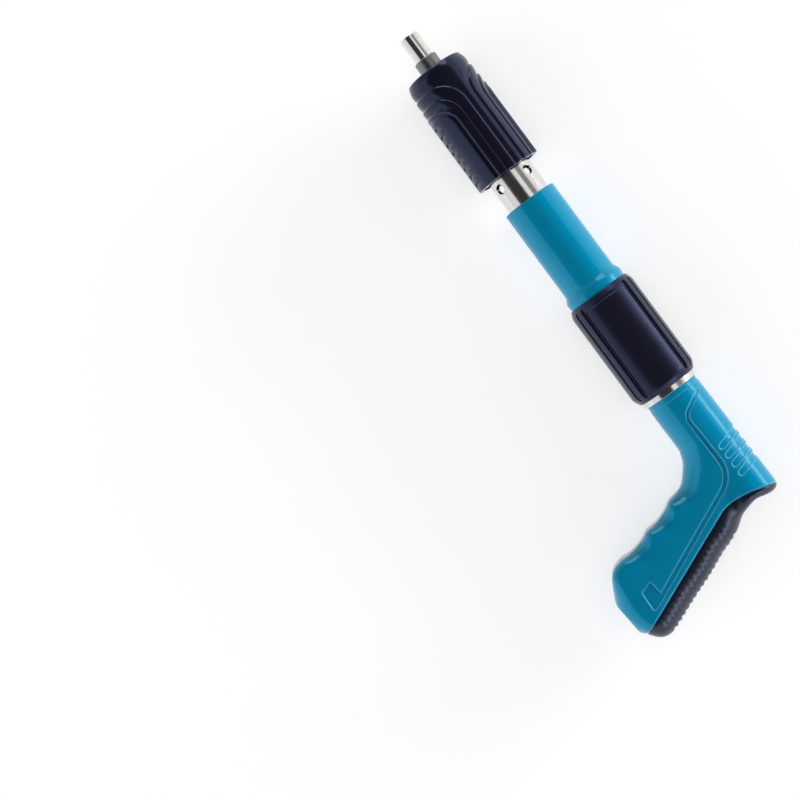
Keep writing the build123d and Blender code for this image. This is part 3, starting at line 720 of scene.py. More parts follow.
class NAILER_OT_sleeve(bpy.types.Operator):
    """Mould the silencer sleeve with its nested pads and finger notches"""

    bl_idname = "nailer.sleeve"
    bl_label = "Silencer sleeve"

    def relief(self, sizes, station, angle):
        """Height of the pads and notches over the plain sleeve, in millimetres."""
        radius = sizes.radius
        turned_by = from_middle(angle, sizes.pad_turn)
        arc = np.abs(turned_by) * radius
        height = np.zeros_like(station)
        for front, half_angle, corner in PADS:
            ahead = front + corner - station
            aside = arc - (math.radians(half_angle) * radius - corner)
            outside = np.hypot(np.maximum(ahead, 0), np.maximum(aside, 0))
            inside = corner - outside - np.minimum(np.maximum(ahead, aside), 0)
            step = smooth_step(-PAD_EDGE, PAD_EDGE, inside)
            height += sizes.shelf * step
            height -= sizes.dip * smooth_step(-sizes.dip_reach, -PAD_EDGE, inside) * (1 - step)
            crease = mound(inside + CREASE_AHEAD, CREASE_WIDTH) * fade(*CREASE_FADE, np.abs(turned_by))
            height -= sizes.crease * crease
        # The innermost pad lies behind a raised lip and a groove
        groove = sizes.groove_width
        height -= sizes.lip_drop * smooth_step(*LIP_SLOPE, inside) * fade(groove, groove + PAD_EDGE, inside)
        pitch = sizes.notch_pitch
        first = PADS[-1][0] + NOTCH_FIRST
        row = np.clip(np.floor((station - first) / pitch), 0, NOTCH_LAST_ROW)
        along = station - first - row * pitch
        ramp = smooth_step(*NOTCH_FRONT, along) * fade(*NOTCH_SLOPE, along)
        across = np.abs(turned_by * radius - NOTCH_SHIFT)
        return height - sizes.notch_depth * ramp * fade(*NOTCH_SIDE, across)

    def execute(self, context):
        sizes = in_mm(context.scene.nailer.sleeve)
        front, rear, _ = span("silencer_sleeve")
        radius = sizes.radius
        bore = sizes.bore
        hole = sizes.front_hole
        wall_rear = front + sizes.front_wall
        profile = [
            (front, hole, 0), (front, radius - sizes.nose_drop, NOSE_ROUND),
            (wall_rear, radius, SHOULDER_ROUND), (rear, radius, SLEEVE_REAR_ROUND),
            (rear, bore, SLEEVE_BORE_ROUND), (wall_rear, bore, 0), (wall_rear, hole, 0),
        ]
        name = "silencer_sleeve_moulded"
        mesh = finished(turned(profile, SLEEVE_STEPS, sizes.grid, bore), name)
        points = points_of(mesh)
        station, angle, reach = about_axis(points)
        outer = smooth_step(bore + SLEEVE_SKIN[0], bore + SLEEVE_SKIN[1], reach) * (station > wall_rear)
        raise_skin(mesh, points, reach, outer * self.relief(sizes, station, angle))
        add_piece(
            name, mesh, "glossy_navy_abs", "muzzle_unit", "silencer_sleeve", SLEEVE_CREASE
        )
        return {"FINISHED"}


# Roundings of the body tube's outline, in millimetres
MOUTH_ROUND = 0.2
TUBE_FRONT_ROUND = 0.6
FLARE_ROUND = 0.9
RIM_ROUND = 0.3
TUBE_REAR_ROUND = 0.2


class NAILER_OT_body_tube(bpy.types.Operator):
    """Turn the enamelled body tube with its flared rim"""

    bl_idname = "nailer.body_tube"
    bl_label = "Body tube"

    def execute(self, context):
        sizes = in_mm(context.scene.nailer.tube)
        front, rear, _ = span("body_tube")
        grip_front = span("grip_sleeve")[0]
        radius = sizes.radius
        rim = radius + sizes.flare_height
        foot = grip_front - sizes.flare_start
        crest = grip_front - sizes.flare_end
        shoulder = front + sizes.shoulder
        bush_rear = front + sizes.bush_depth
        bush = sizes.bush_bore
        throat = sizes.throat
        bore = sizes.bore
        profile = [
            (front, bush, MOUTH_ROUND), (front, radius, TUBE_FRONT_ROUND), (foot, radius, FLARE_ROUND),
            (crest, rim, FLARE_ROUND), (grip_front, rim - sizes.rim_drop, RIM_ROUND),
            (grip_front, radius, 0), (rear, radius, TUBE_REAR_ROUND), (rear, bore, 0), (shoulder, bore, 0),
            (shoulder, throat, 0), (bush_rear, throat, 0), (bush_rear, bush, 0),
        ]
        name = "body_tube_enamelled"
        mesh = finished(turned(profile, BODY_STEPS), name)
        mesh = cut(mesh, screw_tools("joint_screws", bore - SCREW_START, radius))
        add_piece(name, mesh, "baked_teal_enamel", "body", "body_tube", ENAMEL_CREASE)
        return {"FINISHED"}


# Grip sleeve, in millimetres: roundings, where its relief starts outside the bore, and slopes of the relief
GRIP_FRONT_ROUND = 0.5
GRIP_TAPER_ROUND = 1.2
GRIP_REAR_ROUND = 0.6
GRIP_SKIN = (1.2, 2.2)
PANEL_FRONT_SLOPE = 2.0
PANEL_REAR_SLOPE = 1.4
PANEL_SIDE_SLOPE = math.radians(1.2)
GROOVE_END_SLOPE = 0.8
GROOVE_SIDE = (-0.4, 0.25)


class NAILER_OT_grip_sleeve(bpy.types.Operator):
    """Mould the grip sleeve with its sunk panels and grooves"""

    bl_idname = "nailer.grip_sleeve"
    bl_label = "Grip sleeve"

    def relief(self, sizes, station, angle, front, rear, radius):
        """Depth of the panels and grooves, as a height below the plain sleeve, in millimetres."""
        aside = np.abs(from_middle(angle, sizes.middle_turn))
        panel_front = front + sizes.panel_front
        panel_rear = rear - sizes.panel_rear
        ends = smooth_step(panel_front, panel_front + PANEL_FRONT_SLOPE, station)
        ends *= fade(panel_rear - PANEL_REAR_SLOPE, panel_rear, station)
        groove_front = front + sizes.groove_margin
        groove_rear = rear - sizes.groove_margin
        along = smooth_step(groove_front, groove_front + GROOVE_END_SLOPE, station)
        along *= fade(groove_rear - GROOVE_END_SLOPE, groove_rear, station)
        panel = fade(sizes.panel_turn - PANEL_SIDE_SLOPE, sizes.panel_turn, aside)
        height = -sizes.panel_sink * panel * ends
        grooves = ((sizes.panel_turn, sizes.panel_groove), (sizes.rail_turn, sizes.rail_groove))
        for groove_turn, width in grooves:
            away = np.abs(aside - groove_turn) * radius - width / 2
            height -= sizes.groove_depth * fade(*GROOVE_SIDE, away) * along
        return height

    def execute(self, context):
        sizes = in_mm(context.scene.nailer.grip)
        front, rear, radius = span("grip_sleeve")
        bore = sizes.bore
        profile = [
            (front, bore, 0), (front, sizes.front_radius, GRIP_FRONT_ROUND),
            (front + sizes.front_taper, radius, GRIP_TAPER_ROUND),
            (rear - sizes.rear_taper, radius, GRIP_TAPER_ROUND),
            (rear, sizes.rear_radius, GRIP_REAR_ROUND), (rear, bore, 0),
        ]
        name = "grip_sleeve_moulded"
        mesh = finished(turned(profile, GRIP_STEPS, sizes.grid, bore), name)
        points = points_of(mesh)
        station, angle, reach = about_axis(points)
        outer = smooth_step(bore + GRIP_SKIN[0], bore + GRIP_SKIN[1], reach)
        raise_skin(mesh, points, reach, outer * self.relief(sizes, station, angle, front, rear, radius))
        add_piece(name, mesh, "satin_navy_abs", "body", "grip_sleeve", SLEEVE_CREASE)
        return {"FINISHED"}


# Spots on the handle, in millimetres behind its front and below the barrel axis
CHANNEL_ROUTE = [(19.0, 1.8), (60.0, 0.6), (95.0, 78.0)]
CHANNEL_BEND = 12.0
CHANNEL_TAPER = (17.0, 27.0)
LEAD_ROUTE = [(8.2, -13.2), (15.8, 1.2), (22.9, 1.7)]
LEAD_BEND = 4.0
LEAD_WIDTH = 1.8
FOOT_MARK = [(91.8, 76.6), (84.7, 77.4), (86.6, 83.5), (97.6, 83.9), (94.8, 76.2)]
FOOT_ROUND = 1.0
SLOT_FIRST = (43.1, -5.1)
SLOT_PITCH = 6.4
SLOT_COUNT = 4
SLOT_LEAN = math.radians(14.0)
SLOT_LENGTH = 20
SEAM_TOP = (81.0, -19.8)
SEAM_BEND = (71.1, 1.2)
SEAM_SHOULDER = (74.7, 17.3)
SEAM_END = (112.5, 105.7)
SEAM_BEYOND = 60.0
RIB_FIRST = (92.1, 20.0)
RIB_LAST = (116.0, 81.3)
RIB_COUNT = 17
SCREW_SPOTS = [(55.2, 27.0), (80.7, 45.0), (69.2, 68.0), (87.2, 92.0)]
HEEL_CREASE = (72.0, 8.0)
CROOK_SPOT = (44.0, 23.0)
# Points along a drawn bend and along the seam's bend
BEND_STEPS = 10
SEAM_STEPS = 16
# Stopper that closes the handle's front while it is blended: its ends and rim from that front, and its step
STOPPER_AHEAD = 12
STOPPER_DEPTH = 20
STOPPER_RIM = 0.5
STOPPER_STEP = 1.5
# Passes of smoothing, and how far from the heel's crease they reach
SKIN_PASSES = ((math.inf, 16), (18, 30), (13, 60))
# Sculpting of the grip: its direction, range, depth and squareness, its fingers and its front's move out
GRIP_WAY = (0.393, 0.919)
GRIP_START = (45.0, 62.0)
GRIP_END = (112.0, 128.0)
GRIP_HALF = 22.0
GRIP_SQUARE = 4.3
FINGER_PITCH = 23
FINGER_DIP = 1.0
FINGER_ROUND = 1.3
GRIP_PUSH = 1.1
GRIP_PUSH_FADE = (2.0, 14.0)
# Sculpting of the heel's hollow, by drop, and of the crook, which faces ahead and down in equal parts
HEEL_DROPS = (-20.0, -16.0, -11.0, -3.0, 0.0, 5.0, 10.0, 14.0, 20.0, 26.0)
HEEL_HOLLOW = (0.0, 1.0, 2.2, 4.7, 4.2, 2.8, 0.8, 1.2, 0.8, 0.0)
HEEL_RANGE = (72.0, 84.0)
CROOK_FILL = 1.8
CROOK_REACH = 11.0
CROOK_FACING = 0.71
# Reach of each round of refining from the edges of the details, and passes of smoothing in it
REFINE_REACHES = (0.9, 0.4)
REFINE_PASSES = 3
# Painted highlights on the edges: how strongly each kind shows, and the place and width of the pale line
# that stands in for light catching the edge
HIGHLIGHT_SUNK = 0.7
HIGHLIGHT_SLOT = 0.85
HIGHLIGHT_LIP = 0.3
HIGHLIGHT_SEAM = 0.5
HIGHLIGHT_SEAM_OFF = 0.5
HIGHLIGHT_PLACE = 0.2
HIGHLIGHT_WIDTH = 0.3
# Depths and widths of the rounded front edge, the seam and the parting line between the shells
FRONT_DEPTH = 0.3
FRONT_WIDTH = 0.6
SEAM_DEPTH = 0.4
SEAM_WIDTH = 0.5
PARTING_DEPTH = 0.18
PARTING_WIDTH = 0.3
# Ribs of the rubber: roundness and base of their wave, and where they fade at the ends, sides and seam
RIB_ROUND = 0.06
RIB_BASE = 0.65
RIB_END = 4.0
RIB_FACING = (0.2, 0.7)
RIB_SEAM = (0.6, 1.6)
# Cutting tools: half height of the rubber's prism, reach of the bore's wide mouth, and the block of a half
COVER_HALF = 40
MOUTH_AHEAD = 30
MOUTH_RADIUS = 40
BLOCK = [(-40, -60), (180, -60), (180, 160), (-40, 160)]
BLOCK_HEIGHT = 60
SCREW_HOLE_DEPTH = 40


def route_distance(spots, route):
    """Distance of each spot from a line through the corners of a route."""
    least = np.full(len(spots), np.inf)
    for start, end in zip(route, route[1:]):
        start = np.array(start)
        along = np.array(end) - start
        share = np.clip((spots - start) @ along / (along @ along), 0.0, 1.0)
        least = np.minimum(least, np.linalg.norm(spots - start - share[:, None] * along, axis=1))
    return least


def outline_distance(spots, outline):
    """Distance of each spot from a closed outline, negative inside it."""
    inside = np.zeros(len(spots), bool)
    for (x0, y0), (x1, y1) in zip(outline, outline[1:] + outline[:1]):
        if y0 == y1:
            continue
        crossing = x0 + (spots[:, 1] - y0) * (x1 - x0) / (y1 - y0)
        inside ^= ((y0 > spots[:, 1]) != (y1 > spots[:, 1])) & (spots[:, 0] < crossing)
    away = route_distance(spots, outline + outline[:1])
    return np.where(inside, -away, away)


def bend(start, corner, end, steps):
    """Spots along the smooth bend from start to end that a corner pulls out."""
    spots = []
    for step in range(steps + 1):
        share = step / steps
        weights = ((1 - share) ** 2, 2 * share * (1 - share), share ** 2)
        pulls = list(zip(weights, (start, corner, end)))
        spots.append(tuple(sum(weight * spot[axis] for weight, spot in pulls) for axis in (0, 1)))
    return spots


def eased(route, reach):
    """Route of three corners whose middle one is rounded, from reach before it to reach behind it."""
    first, corner, last = (Vector(spot) for spot in route)
    before = corner + (first - corner).normalized() * reach
    behind = corner + (last - corner).normalized() * reach
    return [tuple(first)] + bend(before, corner, behind, BEND_STEPS) + [tuple(last)]


def rubber_outline():
    """Side outline of everything behind the seam between shells and rubber."""
    seam = bend(SEAM_TOP, SEAM_BEND, SEAM_SHOULDER, SEAM_STEPS) + [SEAM_END]
    return seam + [(SEAM_END[0] + SEAM_BEYOND, SEAM_END[1]), (SEAM_END[0] + SEAM_BEYOND, SEAM_TOP[1])]


def side_spots(points, front):
    """Places of points in the handle's side view, behind its front and below the barrel axis."""
    return np.column_stack((-points[:, 0] - front, points[:, 1]))


def prism(outline, front, low, high):
    """Mesh of a side outline of the handle, drawn through from one height to another."""
    shape = bmesh.new()
    base = [shape.verts.new((-(front + back) * MM, drop * MM, low * MM)) for back, drop in outline]
    face = shape.faces.new(base)
    drawn = bmesh.ops.extrude_face_region(shape, geom=[face])["geom"]
    bmesh.ops.translate(shape, vec=(0, 0, (high - low) * MM), verts=of_kind(drawn, bmesh.types.BMVert))
    return finished(shape, "prism")


def outer_skin(mesh):
    """Bmesh of a remeshed body without any skin but the outermost one."""
    shape = bmesh.new()
    shape.from_mesh(mesh)
    start = max(shape.verts, key=lambda vert: vert.co.y)
    found = {start}
    front = [start]
    while front:
        vert = front.pop()
        for edge in vert.link_edges:
            other = edge.other_vert(vert)
            if other not in found:
                found.add(other)
                front.append(other)
    bmesh.ops.delete(shape, geom=[vert for vert in shape.verts if vert not in found], context="VERTS")
    return shape


class NAILER_OT_handle(bpy.types.Operator):
    """Mould the two handle shells and the ribbed rubber back"""

    bl_idname = "nailer.handle"
    bl_label = "Handle"

    def blank(self, sizes, front):
        """Closed, smooth skin of the whole handle, with no details yet."""
        shape = bmesh.new()
        shape.from_mesh(frame["nodes"]["handle_left"].data)
        half = bmesh.ops.duplicate(shape, geom=shape.verts[:] + shape.edges[:] + shape.faces[:])["geom"]
        bmesh.ops.scale(shape, vec=(1, 1, -1), verts=of_kind(half, bmesh.types.BMVert))
        bmesh.ops.reverse_faces(shape, faces=of_kind(half, bmesh.types.BMFace))
        shape.from_mesh(frame["nodes"]["handle_back_grip"].data)
        bmesh.ops.remove_doubles(shape, verts=shape.verts[:], dist=MERGE_REACH)
        radius = sizes.radius
        waist = radius - STOPPER_STEP
        ahead = front - STOPPER_AHEAD
        rim = front + STOPPER_RIM
        deep = front + STOPPER_DEPTH
        profile = [
            (ahead, 0, 0), (ahead, radius, 0), (rim, radius, 0), (rim, waist, 0), (deep, waist, 0),
            (deep, 0, 0),
        ]
        stopper = finished(turned(profile, BODY_STEPS), "stopper")
        shape.from_mesh(stopper)
        bpy.data.meshes.remove(stopper)
        mesh = stored(shape, bpy.data.meshes.new("blank"))
        mesh = applied(mesh, "REMESH", mode="VOXEL", voxel_size=sizes.voxel * MM)
        stored(outer_skin(mesh), mesh)
        move_points(mesh, self.sculpted(points_of(mesh), normals_of(mesh), front))
        mesh = applied(mesh, "REMESH", mode="VOXEL", voxel_size=sizes.voxel * MM)
        shape = outer_skin(mesh)
        crease = Vector((-(front + HEEL_CREASE[0]) * MM, HEEL_CREASE[1] * MM))
        away = {vert: (vert.co.xy - crease).length / MM for vert in shape.verts}
        for reach, passes in SKIN_PASSES:
            relax(shape, [vert for vert in shape.verts if away[vert] < reach], passes)
        return stored(shape, mesh)

    def sculpted(self, points, normals, front):
        """Skin points with flatter grip sides, a hollow under the heel and a fuller crook."""
        back = -points[:, 0] - front
        drop = points[:, 1]
        along = back * GRIP_WAY[0] + drop * GRIP_WAY[1]
        ahead = drop * GRIP_WAY[0] - back * GRIP_WAY[1]
        place = along - along.min()
        slices = np.round(place).astype(int)
        stations = np.arange(slices.max() + 1)
        edge = np.full(len(stations), -np.inf)
        np.maximum.at(edge, slices, ahead)
        thick = np.zeros(len(stations))
        np.maximum.at(thick, slices, np.abs(points[:, 2]))
        inset = np.interp(place, stations, edge) - ahead
        share = np.clip(1 - inset / GRIP_HALF, 0.0, 1.0)
        # The finger hollows are rounder than the ridges between them
        mean = np.convolve(edge, np.full(FINGER_PITCH, 1 / FINGER_PITCH), "same")
        dip = np.clip((mean - edge) / FINGER_DIP, -1.0, 1.0)
        power = GRIP_SQUARE - FINGER_ROUND * np.interp(place, stations, dip)
        square = np.interp(place, stations, thick) * (1 - share ** power) ** (1 / power)
        held = smooth_step(*GRIP_START, along) * fade(*GRIP_END, along)
        weight = held * (inset < GRIP_HALF)
        push = GRIP_PUSH * held * fade(*GRIP_PUSH_FADE, inset)
        height = np.abs(points[:, 2])
        height += np.maximum(square - height, 0.0) * weight
        hollow = np.interp(drop, HEEL_DROPS, HEEL_HOLLOW) * smooth_step(*HEEL_RANGE, back)
        away = np.hypot(back - CROOK_SPOT[0], drop - CROOK_SPOT[1])
        facing = np.clip((normals[:, 0] + normals[:, 1]) * CROOK_FACING, 0.0, 1.0)
        fill = CROOK_FILL * mound(away, CROOK_REACH) * facing * CROOK_FACING
        ahead = points[:, 0] + hollow + fill + push * GRIP_WAY[1]
        below = drop + fill + push * GRIP_WAY[0]
        return np.column_stack((ahead, below, np.copysign(height, points[:, 2])))

    def lines(self, sizes, spots):
        """Distance of each spot from the edges of the sunk side details, of the slots and of the seam."""
        widening = sizes.channel_width - LEAD_WIDTH
        width = LEAD_WIDTH + widening * smooth_step(*CHANNEL_TAPER, spots[:, 0])
        channel = route_distance(spots, eased(CHANNEL_ROUTE, CHANNEL_BEND)) - width / 2
        lead = route_distance(spots, eased(LEAD_ROUTE, LEAD_BEND)) - LEAD_WIDTH / 2
        sunk = np.min((channel, lead, outline_distance(spots, FOOT_MARK) - FOOT_ROUND), axis=0)
        slots = np.full(len(spots), np.inf)
        for index in range(SLOT_COUNT):
            foot = (SLOT_FIRST[0] + index * SLOT_PITCH, SLOT_FIRST[1])
            head = (foot[0] - SLOT_LENGTH * math.sin(SLOT_LEAN), foot[1] - SLOT_LENGTH * math.cos(SLOT_LEAN))
            slots = np.minimum(slots, route_distance(spots, [foot, head]) - sizes.slot_width / 2)
        seam = outline_distance(spots, rubber_outline())
        return sunk, slots, seam

    def refine(self, mesh, sizes, front):
        """Divides the skin where fine details will lie, and once more close to their edges."""
        for reach in REFINE_REACHES:
            spots = side_spots(points_of(mesh), front)
            near = np.min(np.abs(self.lines(sizes, spots)), axis=0) < reach
            near |= np.abs(spots[:, 0] - sizes.lip) < reach
            near |= np.abs(spots[:, 0]) < reach
            shape = bmesh.new()
            shape.from_mesh(mesh)
            edges = [edge for edge in shape.edges if all(near[vert.index] for vert in edge.verts)]
            parts = bmesh.ops.subdivide_edges(shape, edges=edges, cuts=1, use_grid_fill=True)["geom_inner"]
            relax(shape, of_kind(parts, bmesh.types.BMVert), REFINE_PASSES)
            stored(shape, mesh)

    def rub(self, mesh, sizes, front):
        """Marks the raised edges of the details, where the finish is painted paler as a highlight."""
        spots = side_spots(points_of(mesh), front)
        sunk, slots, seam = self.lines(sizes, spots)
        lip = spots[:, 0] - sizes.lip
        edges = ((HIGHLIGHT_SUNK, sunk), (HIGHLIGHT_SLOT, slots), (HIGHLIGHT_LIP, lip), (HIGHLIGHT_SEAM, seam - HIGHLIGHT_SEAM_OFF))
        highlight_marks = [share * mound(away - HIGHLIGHT_PLACE, HIGHLIGHT_WIDTH) for share, away in edges]
        mesh.attributes.new(EDGE_HIGHLIGHT_ATTRIBUTE, "FLOAT", "POINT").data.foreach_set("value", np.max(highlight_marks, axis=0))

    def relief(self, sizes, points, normals, front):
        """Height of the handle's details over its skin, in millimetres."""
        spots = side_spots(points, front)
        sunk, slots, seam = self.lines(sizes, spots)
        edge = sizes.channel_edge
        height = -sizes.channel_depth * fade(-edge, edge, sunk)
        height -= sizes.slot_depth * fade(-edge, edge, slots)
        height -= sizes.lip_step * fade(sizes.lip - edge, sizes.lip + edge, spots[:, 0])
        height -= FRONT_DEPTH * fade(0.0, FRONT_WIDTH, spots[:, 0])
        height -= SEAM_DEPTH * mound(seam, SEAM_WIDTH)
        height -= PARTING_DEPTH * mound(points[:, 2], PARTING_WIDTH) * (seam > 0)
        first = np.array(RIB_FIRST)
        way = np.array(RIB_LAST) - first
        run = np.linalg.norm(way)
        way /= run
        outward = np.array((way[1], -way[0]))
        along = (spots - first) @ way
        facing = normals[:, 0] * -outward[0] + normals[:, 1] * outward[1]
        pitch = run / (RIB_COUNT - 1)
        wave = np.sqrt(np.sin(math.pi * along / pitch) ** 2 + RIB_ROUND) - RIB_BASE
        shown = smooth_step(-RIB_END, 0.0, along) * fade(run, run + RIB_END, along)
        shown *= smooth_step(*RIB_FACING, facing) * smooth_step(*RIB_SEAM, -seam)
        return height + sizes.rib_height * wave * shown

    def execute(self, context):
        sizes = in_mm(context.scene.nailer.handle)
        front = span("handle_left")[0]
        mesh = self.blank(sizes, front)
        core = mesh.copy()
        move_points(core, points_of(core) - normals_of(core) * sizes.rubber)
        core = applied(core, "REMESH", mode="VOXEL", voxel_size=2 * sizes.voxel * MM)
        stored(outer_skin(core), core)
        cover = cut(prism(rubber_outline(), front, -COVER_HALF, COVER_HALF), core)

        self.refine(mesh, sizes, front)
        points = points_of(mesh)
        normals = normals_of(mesh)
        move_points(mesh, points + normals * self.relief(sizes, points, normals, front)[:, None])

        rubber = cut(mesh.copy(), cover, "INTERSECT", keep_tool=True)
        shells = cut(mesh, cover)
        mouth = front - MOUTH_AHEAD
        rear = front + sizes.collar_depth
        deep = front + sizes.housing_depth
        wide = sizes.collar_bore
        narrow = sizes.housing_bore
        bore = [
            (mouth, 0, 0), (mouth, MOUTH_RADIUS, 0), (front, MOUTH_RADIUS, 0), (front, wide, 0),
            (rear, wide, 0), (rear, narrow, 0), (deep, narrow, 0), (deep, 0, 0),
        ]
        shells = cut(shells, finished(turned(bore, BORE_STEPS), "bore"))
        left = cut(shells.copy(), prism(BLOCK, front, -BLOCK_HEIGHT, 0))
        right = cut(shells, prism(BLOCK, front, 0, BLOCK_HEIGHT))
        holes = bmesh.new()
        room = sizes.screw_room * MM
        middle = -sizes.screw_seat - SCREW_HOLE_DEPTH / 2
        for back, drop in SCREW_SPOTS:
            place = Matrix.Translation((-(front + back) * MM, drop * MM, middle * MM))
            bmesh.ops.create_cone(
                holes, cap_ends=True, segments=HOLE_STEPS, radius1=room, radius2=room,
                depth=SCREW_HOLE_DEPTH * MM, matrix=place,
            )
        right = cut(right, finished(holes, "holes"))

        for side, shell in (("left", left), ("right", right)):
            self.rub(shell, sizes, front)
            add_piece(
                f"handle_{side}_moulded", shell, "glossy_teal_abs", "body", f"handle_{side}",
                HANDLE_CREASE,
            )
        add_piece(
            "handle_back_moulded", rubber, "matt_black_rubber", "body", "handle_back_grip",
            HANDLE_CREASE,
        )
        return {"FINISHED"}


# Finish of the solids that stay as they are, by their material slot
INNER_FINISHES = {
    "steel": "machined_steel",
    "aluminium": "machined_aluminium",
    "bronze": "sintered_bronze",
    "brass": "turned_brass",
    "rubber": "matt_black_rubber",
}


class NAILER_OT_inner_finishes(bpy.types.Operator):
    """Give every solid that stays as it is the finish of its own material"""

    bl_idname = "nailer.inner_finishes"
    bl_label = "Inner finishes"

    def execute(self, context):
        slots = {row["node"]: row["material_slot"] for row in frame["record"]["subparts"]}
        for name, node in frame["nodes"].items():
            look = INNER_FINISHES.get(slots[name])
            if look:
                for place in node.material_slots:
                    place.material = finish(look)
        return {"FINISHED"}


class NAILER_OT_springs(bpy.types.Operator):
    """Copy the two springs into pieces of their own in machined steel, which ride on no body"""

    bl_idname = "nailer.springs"
    bl_label = "Springs"

    def execute(self, context):
        for node in ("return_spring", "main_spring"):
            shape = bmesh.new()
            shape.from_mesh(frame["nodes"][node].data)
            spring = add_piece(f"{node}_wound", finished(shape, node), "machined_steel", None, node)
            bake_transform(spring)
        return {"FINISHED"}


# Studio, in metres: the spot that the lamps aim at, and the floor
MIDDLE = (-0.2, 0.0, 0.0)
FLOOR_SIZE = 6.0
FLOOR_GLOW = 0.6
# Bright walls under a dark ceiling that leans a little to the right, with a darker wall in front
CEILING_WAY = (0.0, -0.105, 0.995)
CEILING_EDGE = (0.57, 0.64)
CEILING_LEVELS = (0.85, 0.035)
FRONT_EDGE = (0.45, 0.75)
FRONT_LEVELS = (1.0, 0.5)
# Lamps: name, place, width, height, brightness, and whether they give reflections instead of plain light
SOFTBOXES = [
    ("key_softbox", (-0.2, -2.4, 0.3), 1.8, 0.6, 21.5, False),
    ("fill_softbox", (-0.2, 2.4, 0.3), 1.8, 0.6, 9.5, False),
    ("top_softbox", (-0.2, 0.0, 2.4), 2.4, 2.4, 1.0, False),
    # Low strips draw the streaks along the handle, its rubber back and the body's flare
    ("side_strip", (-0.75, -2.4, 0.33), 1.3, 0.68, 3.6, True),
    ("front_strip", (1.92, -0.86, 0.74), 1.9, 1.05, 2.6, True),
    ("rear_strip", (-2.2, -0.6, 1.0), 1.4, 0.35, 3.0, True),
]
# Cards overhead that only the polished steel mirrors: name, lean, width and brightness
CARDS = [("bright_card", math.radians(22.5), 0.52, 0.9), ("grey_card", math.radians(45.0), 0.6, 0.2)]
CARD_AWAY = 1.4
CARD_LENGTH = 1.5
POLISHED = {"stainless_steel", "oiled_steel"}
# Camera: its place, the ways across and up the picture, its small turns in degrees, and its focal length
CAMERA_SPOT = (-0.2023, 0.0, 1.3)
CAMERA_ACROSS = (-0.5941, -0.8044, 0.0)
CAMERA_UP = (0.8044, -0.5941, 0.0)
CAMERA_TURNS = ((-2.46, "X"), (5.51, "Y"), (0.12, "Z"))
FOCAL_PIXELS = 2159.5
PICTURE_PIXELS = 800
SENSOR_WIDTH = 36.0


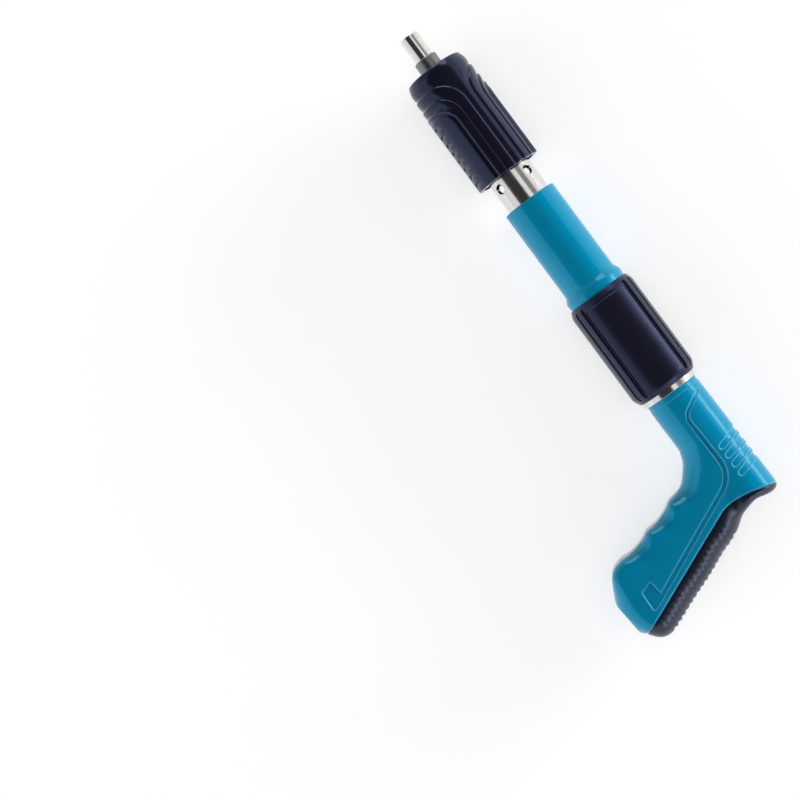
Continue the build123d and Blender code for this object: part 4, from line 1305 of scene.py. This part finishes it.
class NAILER_OT_stage(bpy.types.Operator):
    """Set up the pale floor, the soft studio light and the camera"""

    bl_idname = "nailer.stage"
    bl_label = "Studio"

    def add_floor(self):
        """Adds the floor, which looks whiter than it lights the object."""
        shape = bmesh.new()
        bmesh.ops.create_grid(shape, x_segments=1, y_segments=1, size=FLOOR_SIZE)
        bmesh.ops.translate(shape, vec=(MIDDLE[0], MIDDLE[1], cad_bounds[0][2]), verts=shape.verts[:])
        floor = linked("floor", finished(shape, "floor"))
        paint = finish("painted_floor")
        floor.data.materials.append(paint)
        tree = paint.node_tree
        path = add_node(tree, "ShaderNodeLightPath", {}, {}).outputs
        seen = path["Is Camera Ray"]
        for ray in ("Is Glossy Ray", "Is Transmission Ray"):
            either = add_node(tree, "ShaderNodeMath", {"operation": "MAXIMUM"}, {0: seen, 1: path[ray]})
            seen = either.outputs[0]
        glow = add_node(tree, "ShaderNodeMath", {"operation": "MULTIPLY"}, {0: seen, 1: FLOOR_GLOW})
        shader = tree.nodes["Principled BSDF"]
        shader.inputs["Emission Color"].default_value = WHITE
        tree.links.new(glow.outputs[0], shader.inputs["Emission Strength"])

    def add_walls(self, scene):
        """Adds a world of bright walls and a dark ceiling."""
        world = bpy.data.worlds.new("studio")
        scene.world = world
        world.use_nodes = True
        tree = world.node_tree
        sky = add_node(tree, "ShaderNodeTexCoord", {}, {}).outputs["Generated"]
        rise = add_node(
            tree, "ShaderNodeVectorMath", {"operation": "DOT_PRODUCT"}, {0: sky, 1: CEILING_WAY}
        ).outputs["Value"]
        ahead = add_node(tree, "ShaderNodeSeparateXYZ", {}, {"Vector": sky}).outputs["X"]
        walls = [
            add_node(
                tree, "ShaderNodeMapRange", {"interpolation_type": "SMOOTHSTEP"},
                {
                    "Value": value, "From Min": edge[0], "From Max": edge[1], "To Min": levels[0],
                    "To Max": levels[1],
                },
            ).outputs["Result"]
            for value, edge, levels in (
                (rise, CEILING_EDGE, CEILING_LEVELS), (ahead, FRONT_EDGE, FRONT_LEVELS),
            )
        ]
        level = add_node(tree, "ShaderNodeMath", {"operation": "MULTIPLY"}, {0: walls[0], 1: walls[1]})
        ground = tree.nodes["Background"]
        ground.inputs["Color"].default_value = WHITE
        tree.links.new(level.outputs["Value"], ground.inputs["Strength"])

    def softbox(self, name, spot, width, height, level, glossy):
        """Area lamp of an even brightness, aimed at the middle, that gives reflections or plain light."""
        lamp = bpy.data.lights.new(name, "AREA")
        lamp.shape = "RECTANGLE"
        lamp.size = width
        lamp.size_y = height
        lamp.energy = level * math.pi * width * height
        box = linked(name, lamp)
        box.location = spot
        box.rotation_euler = (Vector(MIDDLE) - Vector(spot)).to_track_quat("-Z", "Y").to_euler()
        box.visible_camera = False
        box.visible_glossy = glossy
        box.visible_diffuse = not glossy
        return box

    def add_lamps(self, scene):
        """Adds the softboxes, and the cards that only the polished steel mirrors."""
        for entry in SOFTBOXES:
            self.softbox(*entry)
        polished = bpy.data.collections.new("polished_steel")
        for piece in scene.objects:
            if piece.type == "MESH" and POLISHED & set(piece.data.materials.keys()):
                polished.objects.link(piece)
        for name, lean, width, level in CARDS:
            spot = (MIDDLE[0], -CARD_AWAY * math.sin(lean), CARD_AWAY * math.cos(lean))
            card = self.softbox(name, spot, CARD_LENGTH, width, level, True)
            card.light_linking.receiver_collection = polished

    def add_camera(self, scene):
        """Adds the camera at the viewing angle of the picture."""
        lens = bpy.data.cameras.new("camera")
        lens.sensor_fit = "HORIZONTAL"
        lens.sensor_width = SENSOR_WIDTH
        lens.lens = FOCAL_PIXELS / PICTURE_PIXELS * SENSOR_WIDTH
        camera = linked("camera", lens)
        across = Vector(CAMERA_ACROSS)
        up = Vector(CAMERA_UP)
        base = Matrix((across, up, across.cross(up))).transposed()
        for angle, axis in CAMERA_TURNS:
            base = base @ Matrix.Rotation(math.radians(angle), 3, axis)
        camera.matrix_world = Matrix.Translation(CAMERA_SPOT) @ base.to_4x4()
        scene.camera = camera

    def execute(self, context):
        scene = context.scene
        scene.view_settings.view_transform = "Standard"
        self.add_floor()
        self.add_walls(scene)
        self.add_lamps(scene)
        self.add_camera(scene)
        return {"FINISHED"}


OPERATORS = (
    NAILER_OT_inner_finishes, NAILER_OT_springs, NAILER_OT_steel, NAILER_OT_sleeve, NAILER_OT_body_tube,
    NAILER_OT_grip_sleeve, NAILER_OT_handle, NAILER_OT_stage,
)


class NAILER_PT_panel(bpy.types.Panel):
    """Lists the steps that build the nailer"""

    bl_idname = "NAILER_PT_panel"
    bl_label = "Cordless nailer"
    bl_space_type = "VIEW_3D"
    bl_region_type = "UI"
    bl_category = "Nailer"

    def draw(self, context):
        for operator in OPERATORS:
            self.layout.operator(operator.bl_idname)


CLASSES = (
    NailerColours, MetalSizes, SleeveSizes, TubeSizes, GripSizes, HandleSizes, NailerSettings, *OPERATORS,
    NAILER_PT_panel,
)


def register():
    for entry in CLASSES:
        bpy.utils.register_class(entry)
    bpy.types.Scene.nailer = group(NailerSettings, "Nailer", "Sizes and colours of the nailer")


def unregister():
    del bpy.types.Scene.nailer
    for entry in reversed(CLASSES):
        bpy.utils.unregister_class(entry)


def main():
    register()
    bpy.ops.nailer.inner_finishes()
    bpy.ops.nailer.springs()
    bpy.ops.nailer.steel()
    bpy.ops.nailer.sleeve()
    bpy.ops.nailer.body_tube()
    bpy.ops.nailer.grip_sleeve()
    bpy.ops.nailer.handle()
    bpy.ops.nailer.stage()


if __name__ == "__main__":
    main()
